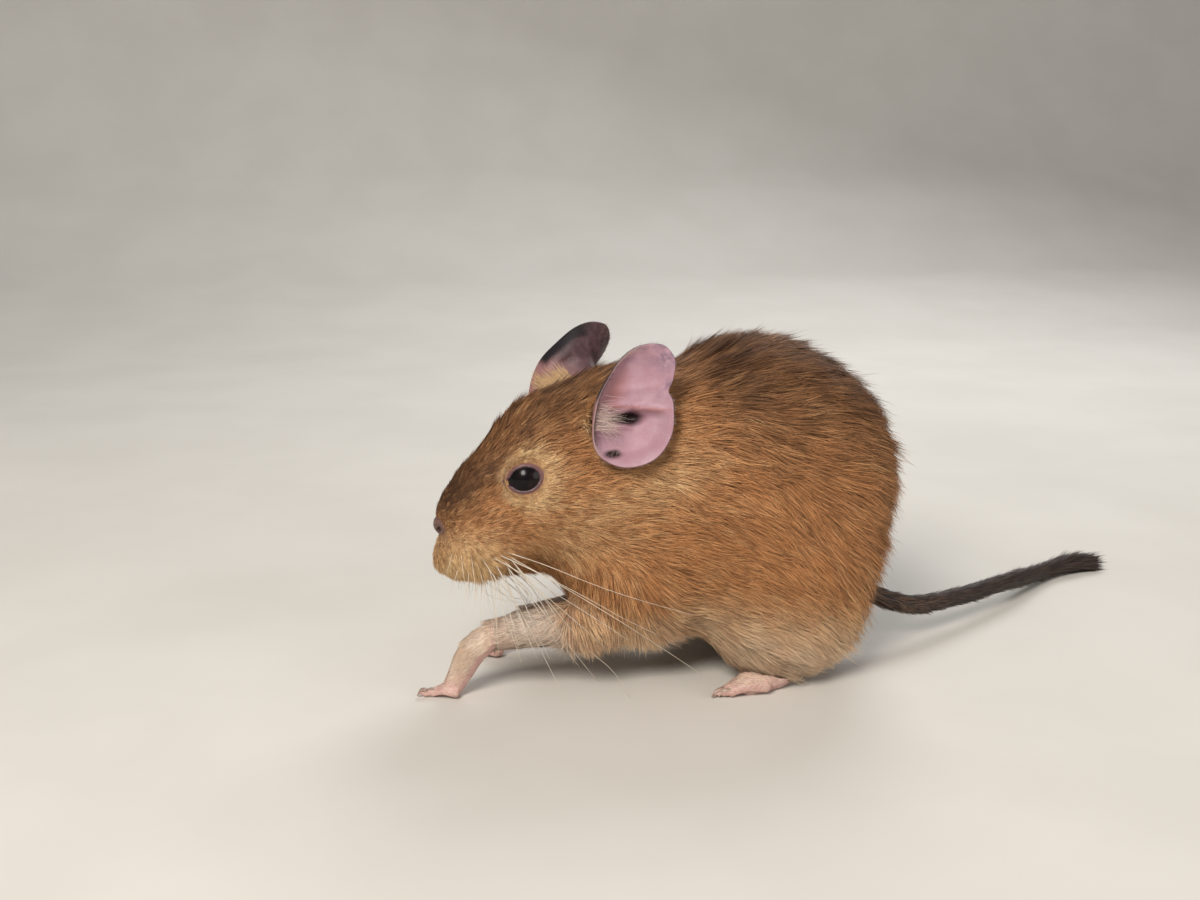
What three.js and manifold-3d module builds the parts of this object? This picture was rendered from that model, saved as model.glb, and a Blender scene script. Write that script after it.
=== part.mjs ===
// A degu at life size: a still model that crouches with its head low and its tail laid on the floor.
// Units are millimetres. The animal faces -X, its left side is -Y, and +Z is up from the floor at z = 0.
// Every solid goes out to the tips of the coat, so the skin lies a coat's depth inside it.
import * as THREE from "three";
import { mergeVertices } from "three/addons/utils/BufferGeometryUtils.js";
import Module from "manifold-3d";

const wasm = await Module();
wasm.setup();

// Driving dimensions of the animal
const EYE_RADIUS = 5.2;
const EAR_HEIGHT = 28.4;
const TAIL_RADIUS = 2.7;
const HIND_FOOT_LENGTH = 33;
const FOREPAW_LENGTH = 13;

// Fits and mesh steps
const GAP = 0.3;
const SINK = 3;
const FAR = 400;
const BLEND_BODY = 9;
const BLEND_HEAD = 4.5;

// Where the box of the whole animal is centred, so that the origin lies under it on the floor
const CENTRE = { x: 30.4, y: 10.9 };

const SIDES = [
  { side: "left", sign: -1 },
  { side: "right", sign: 1 },
];

const radians = THREE.MathUtils.degToRad;
const lerp = THREE.MathUtils.lerp;
const smoothstep = THREE.MathUtils.smoothstep;
const v3 = (x, y, z) => new THREE.Vector3(x, y, z);

// Colours, as linear tints of the coat, skin and eye
const COAT = new THREE.MeshStandardMaterial({ color: 0xa8642f, roughness: 0.9, metalness: 0 });
const FACE = new THREE.MeshStandardMaterial({ color: 0xb8783f, roughness: 0.9, metalness: 0 });
const EAR_SKIN = new THREE.MeshStandardMaterial({ color: 0xc08f93, roughness: 0.7, metalness: 0 });
const PAW_SKIN = new THREE.MeshStandardMaterial({ color: 0xc9a19b, roughness: 0.75, metalness: 0 });
const EYE_GLOSS = new THREE.MeshStandardMaterial({ color: 0x080507, roughness: 0.08, metalness: 0 });
const TAIL_COAT = new THREE.MeshStandardMaterial({ color: 0x2a1d19, roughness: 0.9, metalness: 0 });

// Soft shapes: ellipsoids that run into one another

// The head's own frame: its origin lies between the ears, its nose points along -X
const HEAD_AT = v3(-25, -2, 59);
const HEAD_YAW = 9;
const HEAD_PITCH = 30;
const headTurn = new THREE.Euler(0, -radians(HEAD_PITCH), radians(HEAD_YAW), "ZYX");
const headFrame = new THREE.Matrix4().compose(
  HEAD_AT,
  new THREE.Quaternion().setFromEuler(headTurn),
  v3(1, 1, 1),
);

// One ellipsoid: its centre, its half-lengths, its pitch in degrees, and the frame that it is given in
function lump(at, half, pitch = 0, frame = new THREE.Matrix4()) {
  const own = new THREE.Matrix4().makeRotationY(-radians(pitch)).setPosition(v3(...at));
  const toOwn = frame.clone().multiply(own).invert();
  return { toOwn, half };
}

// The same ellipsoid on both sides of the middle plane
function pair(at, half, pitch, frame) {
  return SIDES.map(({ sign }) => lump([at[0], sign * at[1], at[2]], half, pitch, frame));
}

// About how far a point is outside an ellipsoid, negative inside
function outsideLump({ toOwn, half }, point) {
  const q = point.clone().applyMatrix4(toOwn);
  const near = Math.hypot(q.x / half[0], q.y / half[1], q.z / half[2]);
  const steep = Math.hypot(q.x / half[0] ** 2, q.y / half[1] ** 2, q.z / half[2] ** 2);
  return steep < 1e-9 ? -Math.min(...half) : (near * (near - 1)) / steep;
}

// The lesser of two distances, rounded where they meet
function blendMin(a, b, width) {
  const share = Math.max(width - Math.abs(a - b), 0) / width;
  return Math.min(a, b) - (share * share * width) / 4;
}

function outsideLumps(lumps, point, width) {
  return lumps.map((one) => outsideLump(one, point)).reduce((a, b) => blendMin(a, b, width));
}

// The trunk: barrel, chest, neck, thighs and shoulders
const trunkLumps = [
  lump([12, 0, 43], [36, 27.5, 40]),
  lump([-16, 0, 33], [22, 21, 24]),
  lump([-18, -1, 50], [21, 18, 21]),
  ...pair([11, 9, 51], [30, 18, 27]),
  ...pair([17, 16, 26], [21, 14, 23], -15),
  ...pair([15, 18, 12], [15, 10, 10.4]),
  ...pair([-20, 13, 28], [15, 11, 19], 15),
];
const BELLY_HEIGHT = 10;

// The head, in its own frame: braincase, forehead, bridge, nose, whisker pads, lip, cheeks, jaw and chin
const headLumps = [
  lump([1, 0, 1], [18, 16, 15], 0, headFrame),
  lump([-13, 0, 5], [17, 12.5, 14.2], 0, headFrame),
  lump([-28, 0, 4], [15, 8.8, 10.6], 8, headFrame),
  lump([-39.5, 0, 1.5], [6, 5.6, 7.2], 0, headFrame),
  ...pair([-38, 5, -5], [9.5, 6.2, 7.2], 10, headFrame),
  ...pair([-45, 2.2, -4.5], [5.5, 3.4, 4], 0, headFrame),
  ...pair([-14, 9.5, -5], [17, 8.5, 13], 0, headFrame),
  ...pair([-27, 6, -4], [12, 6.8, 8.5], 0, headFrame),
  lump([-15, 0, -12], [20, 10, 9.5], 0, headFrame),
  lump([-32, 0, -12.5], [7.5, 5.2, 5], 0, headFrame),
];

function outsideBody(point) {
  const barrel = -blendMin(-outsideLumps(trunkLumps.slice(0, 5), point, BLEND_BODY), point.z - BELLY_HEIGHT, 8);
  const limbs = outsideLumps(trunkLumps.slice(5), point, BLEND_BODY);
  const trunk = blendMin(barrel, limbs, BLEND_BODY);
  const head = outsideLumps(headLumps, point, BLEND_HEAD);
  return blendMin(trunk, head, BLEND_BODY);
}

// Closed meshes from rings of points

function middleOf(ring) {
  return ring.reduce((sum, p) => sum.add(p), v3(0, 0, 0)).divideScalar(ring.length);
}

// A closed mesh through rings of equal length, with a fan to a pole over each end
function skinOver(rings, poles = [middleOf(rings[0]), middleOf(rings.at(-1))]) {
  const around = rings[0].length;
  const spots = rings.flat();
  const index = [];
  for (let i = 0; i + 1 < rings.length; i++) {
    for (let j = 0; j < around; j++) {
      const next = (j + 1) % around;
      const [a, b] = [i * around + j, i * around + next];
      index.push(a, a + around, b, b, a + around, b + around);
    }
  }
  const [first, last] = [spots.length, spots.length + 1];
  const start = (rings.length - 1) * around;
  for (let j = 0; j < around; j++) {
    const next = (j + 1) % around;
    index.push(first, j, next);
    index.push(last, start + next, start + j);
  }
  const geometry = new THREE.BufferGeometry().setFromPoints([...spots, ...poles]);
  geometry.setIndex(index);
  return geometry;
}

// The solid that a closed geometry bounds, facing out whichever way it was wound
function solidOf(geometry) {
  const bare = geometry.clone();
  bare.deleteAttribute("normal");
  bare.deleteAttribute("uv");
  const merged = mergeVertices(bare, 1e-4);
  const vertProperties = new Float32Array(merged.attributes.position.array);
  const triVerts = new Uint32Array(merged.index.array);
  const made = new wasm.Manifold(new wasm.Mesh({ numProp: 3, vertProperties, triVerts }));
  if (made.volume() > 0) return made;
  for (let i = 0; i < triVerts.length; i += 3) {
    [triVerts[i + 1], triVerts[i + 2]] = [triVerts[i + 2], triVerts[i + 1]];
  }
  return new wasm.Manifold(new wasm.Mesh({ numProp: 3, vertProperties, triVerts }));
}

function joined(solids) {
  return solids.reduce((whole, next) => whole.add(next));
}

function cutBy(solid, cutters) {
  return cutters.reduce((left, cutter) => left.subtract(cutter), solid);
}

// The largest piece of a solid
function largest(solid) {
  return solid.decompose().sort((a, b) => b.volume() - a.volume())[0];
}

// A three.js mesh of a solid
function nodeOf(name, solid, material) {
  const { numProp, vertProperties, triVerts, numVert } = largest(solid).getMesh();
  const places = new Float32Array(numVert * 3);
  for (let i = 0; i < numVert; i++) {
    places.set(vertProperties.subarray(i * numProp, i * numProp + 3), i * 3);
  }
  const geometry = new THREE.BufferGeometry();
  geometry.setAttribute("position", new THREE.BufferAttribute(places, 3));
  geometry.setIndex(new THREE.BufferAttribute(triVerts, 1));
  geometry.computeVertexNormals();
  const mesh = new THREE.Mesh(geometry, material);
  mesh.name = name;
  return mesh;
}

// A box that fills the side of a plane that its normal points to
function halfSpace(point, normal) {
  const box = new THREE.BoxGeometry(FAR, FAR, FAR).translate(0, 0, FAR / 2);
  const turn = new THREE.Quaternion().setFromUnitVectors(v3(0, 0, 1), normal.clone().normalize());
  box.applyQuaternion(turn).translate(point.x, point.y, point.z);
  return solidOf(box);
}

const belowFloor = halfSpace(v3(0, 0, 0), v3(0, 0, -1));

// A sphere or ellipsoid in place
function ball(at, half, frame = new THREE.Matrix4(), segments = 24) {
  const sphere = new THREE.SphereGeometry(1, segments, segments / 2).rotateX(Math.PI / 2);
  sphere.scale(...half).translate(...at).applyMatrix4(frame);
  return solidOf(sphere);
}

// A tapered tube along a smooth line, with round ends: spots are [x, y, z, radius]
function limb(spots, { steps = 10, sides = 10, domes = [0.55, 0.93] } = {}) {
  const line = new THREE.CatmullRomCurve3(spots.map(([x, y, z]) => v3(x, y, z)), false, "centripetal");
  const girth = new THREE.SplineCurve(spots.map((s, i) => new THREE.Vector2(i / (spots.length - 1), s[3])));
  const shares = [
    ...domes.map((d) => ({ t: 0, swell: d, out: -Math.sqrt(1 - d * d) })),
    ...Array.from({ length: steps + 1 }, (_, i) => ({ t: i / steps, swell: 1, out: 0 })),
    ...domes.toReversed().map((d) => ({ t: 1, swell: d, out: Math.sqrt(1 - d * d) })),
  ];
  const rings = shares.map(({ t, swell, out }) => {
    const forward = line.getTangent(t);
    const across = v3(0, 0, 1).cross(forward).normalize();
    const up = forward.clone().cross(across);
    const radius = girth.getPoint(t).y;
    const middle = line.getPoint(t).addScaledVector(forward, out * radius);
    return Array.from({ length: sides }, (_, j) => {
      const turn = ((j + 0.5) / sides) * 2 * Math.PI;
      return middle
        .clone()
        .addScaledVector(across, Math.cos(turn) * radius * swell)
        .addScaledVector(up, Math.sin(turn) * radius * swell);
    });
  });
  return solidOf(skinOver(rings));
}

// The trunk, neck and head, as one skin over the soft shapes, parted across one axis

// The axis inside the body, from the rump to the nose: a place, how far its section leans, and its turn
const AXIS = [
  { at: v3(20, 0, 40), lean: 0, turn: 0 },
  { at: v3(2, 0, 42), lean: 5, turn: 0 },
  { at: v3(-14, 0, 45), lean: 9, turn: 2 },
  { at: v3(-28, -2.5, 49), lean: 2, turn: 6 },
  { at: v3(-42, -4.8, 47), lean: -14, turn: 9 },
  { at: v3(-55, -6.8, 40.5), lean: -30, turn: 9 },
];
const axisLine = new THREE.CatmullRomCurve3(AXIS.map(({ at }) => at), false, "centripetal");
const leans = new THREE.SplineCurve(AXIS.map(({ lean, turn }) => new THREE.Vector2(lean, turn)));
const NECK_START = 0.42;
const NECK_END = 0.53;

// The frame of the axis at a share of its way from rump to nose
function sectionAt(share) {
  const { x: lean, y: turn } = leans.getPoint(share);
  const towardsNose = v3(-1, 0, 0)
    .applyAxisAngle(v3(0, 1, 0), radians(lean))
    .applyAxisAngle(v3(0, 0, 1), radians(turn));
  const across = v3(0, 0, 1).cross(towardsNose).normalize();
  const up = towardsNose.clone().cross(across);
  return { middle: axisLine.getPoint(share), towardsNose, across, up };
}

// Where the body's surface lies on a ray, looked for from outside inwards
function surfaceOn(middle, way, proud = 0) {
  const outside = (reach) => outsideBody(middle.clone().addScaledVector(way, reach)) - proud;
  const stride = 1.5;
  let outer = 60;
  while (outer > stride && outside(outer - stride) > 0) outer -= stride;
  let inner = Math.max(outer - stride, 0);
  for (let i = 0; i < 12; i++) {
    const between = (inner + outer) / 2;
    if (outside(between) > 0) outer = between;
    else inner = between;
  }
  return middle.clone().addScaledVector(way, (inner + outer) / 2);
}

// One ring of the skin. It opens out from the axis's direction by a swing in degrees, and 90 is square to it
function ringAt({ middle, towardsNose, across, up }, around, proud, swing = 90) {
  return Array.from({ length: around }, (_, j) => {
    const turn = (j / around) * 2 * Math.PI;
    const way = across
      .clone()
      .multiplyScalar(Math.sin(turn) * Math.sin(radians(swing)))
      .addScaledVector(up, Math.cos(turn) * Math.sin(radians(swing)))
      .addScaledVector(towardsNose, Math.cos(radians(swing)));
    return surfaceOn(middle, way, proud);
  });
}

// The skin between two shares of the axis, standing proud of the soft shapes by a distance. An end at 0 or 1
// is closed by a round cap of so many rings, and any other end is flat and starts a gap further on.
function bodyBetween(from, to, { steps, around, cap = 0, proud = 0, gap = 0 }) {
  const rings = [];
  const first = sectionAt(from);
  const last = sectionAt(to);
  const poles = [first.middle.clone(), last.middle.clone()];
  if (from === 0) {
    poles[0] = surfaceOn(first.middle, first.towardsNose.clone().negate(), proud);
    for (let i = 1; i <= cap; i++) rings.push(ringAt(first, around, proud, 180 - (90 * i) / (cap + 1)));
  }
  for (let i = 0; i <= steps; i++) {
    const section = sectionAt(lerp(from, to, i / steps));
    if (i === 0) section.middle.addScaledVector(section.towardsNose, gap);
    rings.push(ringAt(section, around, proud));
  }
  if (to === 1) {
    poles[1] = surfaceOn(last.middle, last.towardsNose, proud);
    for (let i = cap; i >= 1; i--) rings.push(ringAt(last, around, proud, (90 * i) / (cap + 1)));
  }
  return solidOf(skinOver(rings, poles));
}

function bodyBlocks(proud) {
  return {
    torso: bodyBetween(0, NECK_START, { steps: 12, around: 34, cap: 6, proud }),
    neck: bodyBetween(NECK_START, NECK_END, { steps: 3, around: 34, gap: GAP, proud }),
    head: bodyBetween(NECK_END, 1, { steps: 18, around: 38, cap: 6, gap: GAP, proud }),
  };
}

const body = bodyBlocks(0);
const bodyClear = bodyBlocks(GAP);

// Thighs

// A thigh is the part of the trunk inside this ellipsoid
const THIGH = { at: [16, 25, 22], half: [24, 15, 28] };

function thighCutter(sign, more) {
  return ball([THIGH.at[0], sign * THIGH.at[1], THIGH.at[2]], THIGH.half.map((h) => h + more), undefined, 24);
}

// Hind feet

// A hind foot stands on its toes, with its heel lifted into the thigh: places from the toe roots back
const HEEL = { at: [27, 18.5, 9.5], radius: 3.6 };
const HIND_TOES_AT = [7.5, 23.6];
const TOE_SPREAD = [-12, -4, 5, 13];

// Toes with their claws, each from a root to its tip, and spread out like a fan
function toes(root, { heading, spreads, lengths, pitch, radius, claw }) {
  return spreads.flatMap((spread, i) => {
    const way = v3(-1, 0, 0).applyAxisAngle(v3(0, 0, 1), radians(heading + spread));
    const across = v3(0, -1, 0).applyAxisAngle(v3(0, 0, 1), radians(heading));
    const start = v3(root[0], root[1], 0).addScaledVector(across, (i - (spreads.length - 1) / 2) * -pitch);
    const at = (reach, height, girth) => [...start.clone().addScaledVector(way, reach).setZ(height), girth];
    const long = lengths[i];
    const toe = limb(
      [
        at(-0.15 * long, radius * 1.35, radius * 1.1),
        at(0.35 * long, radius * 1.55, radius * 0.95),
        at(0.7 * long, radius * 1.15, radius * 0.85),
        at(long - claw * 0.6, radius * 0.8, radius * 0.78),
      ],
      { steps: 3, sides: 6 },
    );
    const nail = limb(
      [at(long - claw * 0.7, 1.5, 0.75), at(long - claw * 0.1, 1.55, 0.6), at(long + claw * 0.45, 0.75, 0.32)],
      { steps: 2, sides: 4, domes: [0.75] },
    );
    return [toe, nail];
  });
}

function hindFoot(sign) {
  const [toeX, toeY] = HIND_TOES_AT;
  const [heelX, heelY, heelZ] = HEEL.at;
  const between = (share, z, radius) => [lerp(toeX, heelX, share), sign * lerp(toeY, heelY, share), z, radius];
  const sole = limb(
    [
      between(1, heelZ, HEEL.radius),
      between(0.62, 6.4, 3.5),
      between(0.3, 3.3, 3.4),
      between(-0.08, 2.2, 3.1),
    ],
    { steps: 6, sides: 10 },
  );
  const long = HIND_FOOT_LENGTH * 0.3;
  const lengths = [0.88, 1, 1.02, 0.86].map((share) => share * long);
  const heading = sign * THREE.MathUtils.radToDeg(Math.atan2(heelY - toeY, heelX - toeX));
  const spreads = TOE_SPREAD.map((spread) => spread * -sign);
  const roots = [toeX, sign * toeY];
  return joined([sole, ...toes(roots, { heading, spreads, lengths, pitch: -1.75 * sign, radius: 1.5, claw: 3 })]);
}

// Forelegs

// The near foreleg reaches forward, and the far one is drawn back under the chest
const FORELEGS = {
  left: {
    arm: [[-17, -12, 22, 8.5], [-29, -15, 18, 7.3], [-42, -15.2, 16.4, 5.3], [-54.5, -14.5, 14.6, 4.1]],
    hand: [[-53, -14.6, 14.9, 3.8], [-58, -14.3, 11.5, 3.4], [-61, -14, 6.3, 2.9], [-63.3, -13.8, 2.4, 2.6]],
  },
  right: {
    arm: [[-15, 12, 17, 7], [-24, 14, 12, 6], [-33, 13.5, 9.8, 4.8], [-43, 12.5, 8.8, 3.9]],
    hand: [[-41.5, 12.7, 9, 3.6], [-46, 12, 6.8, 3.2], [-48.8, 11.5, 4.4, 2.9], [-51, 11, 2.4, 2.6]],
  },
};
const FINGER_SPREAD = [-24, -8, 8, 24];
const FINGER_LENGTHS = [0.42, 0.54, 0.55, 0.44].map((share) => share * FOREPAW_LENGTH);
const THUMB = { spread: 58, length: 0.24 * FOREPAW_LENGTH };

// Where a forearm meets its paw: a plane square to the arm
function wristOf({ arm }) {
  const [before, last] = arm.slice(-2).map(([x, y, z]) => v3(x, y, z));
  return { at: last, ahead: last.clone().sub(before).normalize() };
}

function forepaw(sign, { hand }) {
  const [x, y] = hand.at(-1);
  const palm = limb(hand, { steps: 6, sides: 10 });
  const fan = { heading: 0, pitch: 1.45, radius: 1.1, claw: 1.7 };
  const fingers = toes([x - 0.6, y], { ...fan, spreads: FINGER_SPREAD, lengths: FINGER_LENGTHS });
  const inner = [x + 0.8, y - sign * 1.6];
  const thumb = toes(inner, { ...fan, spreads: [-sign * THUMB.spread], lengths: [THUMB.length] });
  return joined([palm, ...fingers, ...thumb]);
}

// Ears

// Each ear is a dish round its canal: a blade that points back, and a round lobe below the notch
const EAR_AT = { left: [3.4, 17.6, 6.9], right: [1.6, 17.2, 9] };
const EAR_OUT = { left: [-0.2, 0.92, 0.3], right: [-0.16, 0.92, 0.41] };
const EAR_RAISE = { left: 34, right: 22 };
const EAR_SCALE = EAR_HEIGHT / 28.4;

// The edge of an ear round its canal: places along its blade and towards its back
const EAR_EDGE = [
  [1, -7.9], [7, -7.7], [12.5, -6.6], [16.4, -3.9], [18.2, 0.4], [16.4, 4], [12.4, 5.4],
  [9.4, 5.6], [7.2, 7.8], [1, 10.3], [-5.5, 9.3], [-10, 4.2], [-10.2, -2], [-6.5, -5.6],
];
const earEdge = new THREE.CatmullRomCurve3(EAR_EDGE.map(([a, b]) => v3(a, b, 0)), true, "catmullrom", 0.5);
const edgeSpots = earEdge.getPoints(280);

// How far the edge is from the canal, at an angle round it
function rimAt(turn) {
  const way = v3(Math.cos(turn), Math.sin(turn), 0);
  const nearest = edgeSpots.reduce((best, spot) => (spot.angleTo(way) < best.angleTo(way) ? spot : best));
  return nearest.length() * EAR_SCALE;
}

// A dish with a deep canal: its inner face, its rim, its outer face and the stem that runs into the head
function ear(side, sign) {
  const inHead = ([x, y, z]) => v3(x, sign * y, z);
  const out = inHead(EAR_OUT[side]).normalize();
  const given = v3(Math.cos(radians(EAR_RAISE[side])), 0, Math.sin(radians(EAR_RAISE[side])));
  const along = given.addScaledVector(out, -given.dot(out)).normalize();
  const back = along.clone().cross(out).multiplyScalar(-sign);
  const canal = inHead(EAR_AT[side]);
  const around = 26;
  const ring = (share, thickness) =>
    Array.from({ length: around }, (_, j) => {
      const turn = (j / around) * 2 * Math.PI;
      const front = Math.max(-Math.sin(turn), 0);
      const reach = share * rimAt(turn);
      return canal
        .clone()
        .addScaledVector(along, Math.cos(turn) * reach)
        .addScaledVector(back, Math.sin(turn) * reach)
        .addScaledVector(out, (3.4 + 2.8 * front) * share ** 1.8 - thickness)
        .applyMatrix4(headFrame);
    });
  const pit = (share) => 1.7 * (1 - smoothstep(share, 0.08, 0.3));
  return solidOf(
    skinOver([
      ...[0.08, 0.2, 0.33, 0.55, 0.8, 0.94].map((share) => ring(share, pit(share))),
      ring(1, 0.15),
      ring(1, 0.75),
      ...[0.85, 0.62].map((share) => ring(share, lerp(1.7, 0.9, share))),
      ring(0.46, 2.4),
      ring(0.38, 5),
      ring(0.34, 12),
    ]),
  );
}

// Eyes
const EYE_AT = [-22.3, 9.1, 5.5];
const EYE_OUT = [-0.25, 0.92, 0.3];
const EYE_LONG = [-0.92, -0.27, 0.28];
const LID = { half: [4.2, 3.35], radius: 0.9 };

function eyePlace(sign) {
  return v3(EYE_AT[0], sign * EYE_AT[1], EYE_AT[2]).applyMatrix4(headFrame);
}

function eyeball(sign, more = 0) {
  const half = EYE_RADIUS + more;
  return ball(eyePlace(sign).toArray(), [half, half, half], undefined, 18);
}

// The lids: a soft ring that lies on the eye round an almond opening
function lids(sign) {
  const out = v3(EYE_OUT[0], sign * EYE_OUT[1], EYE_OUT[2]).normalize();
  const given = v3(EYE_LONG[0], sign * EYE_LONG[1], EYE_LONG[2]);
  const long = given.addScaledVector(out, -given.dot(out)).normalize();
  const short = long.clone().cross(out);
  const middle = v3(EYE_AT[0], sign * EYE_AT[1], EYE_AT[2]);
  const steps = 20;
  const sides = 6;
  const rings = Array.from({ length: steps }, (_, i) => {
    const turn = (i / steps) * 2 * Math.PI;
    const [p, q] = [Math.cos(turn) * LID.half[0], Math.sin(turn) * LID.half[1]];
    const rise = Math.sqrt(Math.max(EYE_RADIUS ** 2 - p * p - q * q, 0.5));
    const radial = v3(0, 0, 0).addScaledVector(long, p).addScaledVector(short, q).normalize();
    const onBall = radial.clone().multiplyScalar(Math.hypot(p, q)).addScaledVector(out, rise);
    return Array.from({ length: sides }, (_, j) => {
      const roll = (j / sides) * 2 * Math.PI;
      return middle
        .clone()
        .add(onBall)
        .addScaledVector(radial, (0.3 + Math.cos(roll)) * LID.radius)
        .addScaledVector(out, Math.sin(roll) * LID.radius)
        .applyMatrix4(headFrame);
    });
  });
  return solidOf(closedLoop(rings));
}

// A closed mesh through rings that come back to the first
function closedLoop(rings) {
  const around = rings[0].length;
  const index = [];
  for (let i = 0; i < rings.length; i++) {
    const ahead = (i + 1) % rings.length;
    for (let j = 0; j < around; j++) {
      const next = (j + 1) % around;
      const [a, b, c, d] = [i * around + j, i * around + next, ahead * around + j, ahead * around + next];
      index.push(a, c, b, b, c, d);
    }
  }
  return new THREE.BufferGeometry().setFromPoints(rings.flat()).setIndex(index);
}

// Nose and mouth

// A shallow groove in the head's surface, along rays from a place inside the muzzle
const MUZZLE_MIDDLE = v3(-34, 0, -5);
const GROOVE_SINK = 0.2;

function groove(ways, radius) {
  const from = MUZZLE_MIDDLE.clone().applyMatrix4(headFrame);
  const spots = ways.map((way) => {
    const direction = v3(...way).normalize().transformDirection(headFrame);
    return [...surfaceOn(from, direction, -GROOVE_SINK).toArray(), radius];
  });
  return limb(spots, { steps: 8, sides: 5 });
}

// The cleft under the nose, the line between the lips on each side, and the nostrils
function muzzleCuts() {
  const cleft = groove([[-1, 0, 0.12], [-1, 0, -0.15], [-0.85, 0, -0.5], [-0.6, 0, -0.8]], 0.55);
  const lips = SIDES.map(({ sign }) =>
    groove([[-0.7, 0, -0.78], [-0.5, sign * 0.35, -0.86], [-0.1, sign * 0.7, -0.85], [0.35, sign * 0.9, -0.7]], 0.7),
  );
  const nostrils = SIDES.map(({ sign }) => ball([-45, sign * 2.6, 2], [1.7, 1.4, 0.9], headFrame, 10));
  return [cleft, ...lips, ...nostrils];
}

// Tail

// The tail's line from inside the rump to its tip on the floor: place and radius
const TAIL_LINE = [
  [40, 0, 17, TAIL_RADIUS * 1.5],
  [53.5, 1.2, 11, TAIL_RADIUS * 1.08],
  [71.5, 11, 8, TAIL_RADIUS],
  [92, 25, 6.3, TAIL_RADIUS],
  [104, 35, 4.4, TAIL_RADIUS],
  [114, 43, 3.1, TAIL_RADIUS * 1.18],
  [123, 48, 2.9, TAIL_RADIUS * 1.12],
  [130, 50.4, 2.2, TAIL_RADIUS * 0.5],
];
const TAIL_CUTS = [3, 4];

const tailWhole = limb(TAIL_LINE, { steps: 30, sides: 12 });

// Numbers between 0 and 1 that come out the same each time
function seeded(seed) {
  let state = seed;
  return () => {
    state = (state * 1664525 + 1013904223) % 4294967296;
    return state / 4294967296;
  };
}

// The brush at the tail's end: flat tapered locks of bristles, rooted in its core and leaning out of it
const LOCK_COUNT = 34;
const LOCK = { long: 11.2, wide: 2.4, thick: 1, away: 3.3 };
const BRUSH_EDGE = { x: 132.8, y: 52.4, z: 0.4 };
const tailLine = new THREE.CatmullRomCurve3(TAIL_LINE.map(([x, y, z]) => v3(x, y, z)), false, "centripetal");

function lock({ share, turn, long, away }) {
  const root = tailLine.getPoint(share);
  const forward = tailLine.getTangent(share);
  const across = v3(0, 0, 1).cross(forward).normalize();
  const up = forward.clone().cross(across);
  const out = across.clone().multiplyScalar(Math.cos(turn)).addScaledVector(up, Math.sin(turn));
  const side = forward.clone().cross(out).normalize();
  const at = (reach, rise) => root.clone().addScaledVector(forward, reach).addScaledVector(out, rise);
  const ring = (reach, rise, wide) => [
    at(reach, rise).addScaledVector(side, wide / 2),
    at(reach, rise + LOCK.thick / 2),
    at(reach, rise).addScaledVector(side, -wide / 2),
    at(reach, rise - LOCK.thick / 2),
  ];
  const tip = at(long, away);
  tip.x = Math.min(tip.x, BRUSH_EDGE.x);
  tip.y = Math.min(tip.y, BRUSH_EDGE.y);
  tip.z = Math.max(tip.z, BRUSH_EDGE.z);
  const rings = [ring(0, 1, LOCK.wide), ring(0.5 * long, 0.8 * away, LOCK.wide * 0.8)];
  return solidOf(skinOver(rings, [at(-1, 0.6), tip]));
}

function brushLocks() {
  const random = seeded(7);
  return Array.from({ length: LOCK_COUNT }, (_, i) =>
    lock({
      share: lerp(0.62, 0.86, i / (LOCK_COUNT - 1)),
      turn: i * 2.4 + random() * 0.6,
      long: LOCK.long * lerp(0.85, 1.15, random()),
      away: LOCK.away * lerp(0.85, 1.15, random()),
    }),
  );
}

function tailPieces() {
  const planes = TAIL_CUTS.map((i) => {
    const here = v3(...TAIL_LINE[i].slice(0, 3));
    const ahead = v3(...TAIL_LINE[i + 1].slice(0, 3)).sub(here).normalize();
    return { here, ahead };
  });
  const before = ({ here, ahead }) => halfSpace(here, ahead);
  const after = ({ here, ahead }) => halfSpace(here.clone().addScaledVector(ahead, GAP), ahead.clone().negate());
  return {
    root: cutBy(tailWhole, [before(planes[0])]),
    middle: cutBy(tailWhole, [after(planes[0]), before(planes[1])]),
    brush: cutBy(tailWhole, [after(planes[1])]),
  };
}

// The animal

const root = new THREE.Group();
const add = (name, solid, material) => root.add(nodeOf(name, cutBy(solid, [belowFloor]), material));
const bodyCutters = Object.values(bodyClear);

const thighGaps = SIDES.map(({ sign }) => thighCutter(sign, GAP));
add("torso", cutBy(body.torso, thighGaps), COAT);
add("neck", body.neck, COAT);

const eyeGaps = SIDES.map(({ sign }) => eyeball(sign, GAP));
const eyelids = SIDES.map(({ sign }) => lids(sign));
add("head", cutBy(joined([body.head, ...eyelids]), [...eyeGaps, ...muzzleCuts()]), FACE);

for (const { side, sign } of SIDES) {
  const foreleg = FORELEGS[side];
  const wrist = wristOf(foreleg);
  add(`thigh_${side}`, body.torso.intersect(thighCutter(sign, 0)), COAT);
  add(`hind_foot_${side}`, cutBy(hindFoot(sign), bodyCutters), PAW_SKIN);
  const arm = cutBy(limb(foreleg.arm, { steps: 7, sides: 12 }), bodyCutters);
  const past = wrist.at.clone().addScaledVector(wrist.ahead, GAP);
  add(`foreleg_${side}`, cutBy(arm, [halfSpace(wrist.at, wrist.ahead)]), FACE);
  add(`forepaw_${side}`, cutBy(forepaw(sign, foreleg), [halfSpace(past, wrist.ahead.clone().negate())]), PAW_SKIN);
  add(`ear_${side}`, cutBy(ear(side, sign), bodyCutters), EAR_SKIN);
  add(`eye_${side}`, eyeball(sign), EYE_GLOSS);
}

const tail = tailPieces();
add("tail_root", cutBy(tail.root, bodyCutters), TAIL_COAT);
add("tail_middle", tail.middle, TAIL_COAT);
add("tail_brush", joined([tail.brush, ...brushLocks()]), TAIL_COAT);

root.position.set(-CENTRE.x, -CENTRE.y, 0);

export default root;
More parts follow.
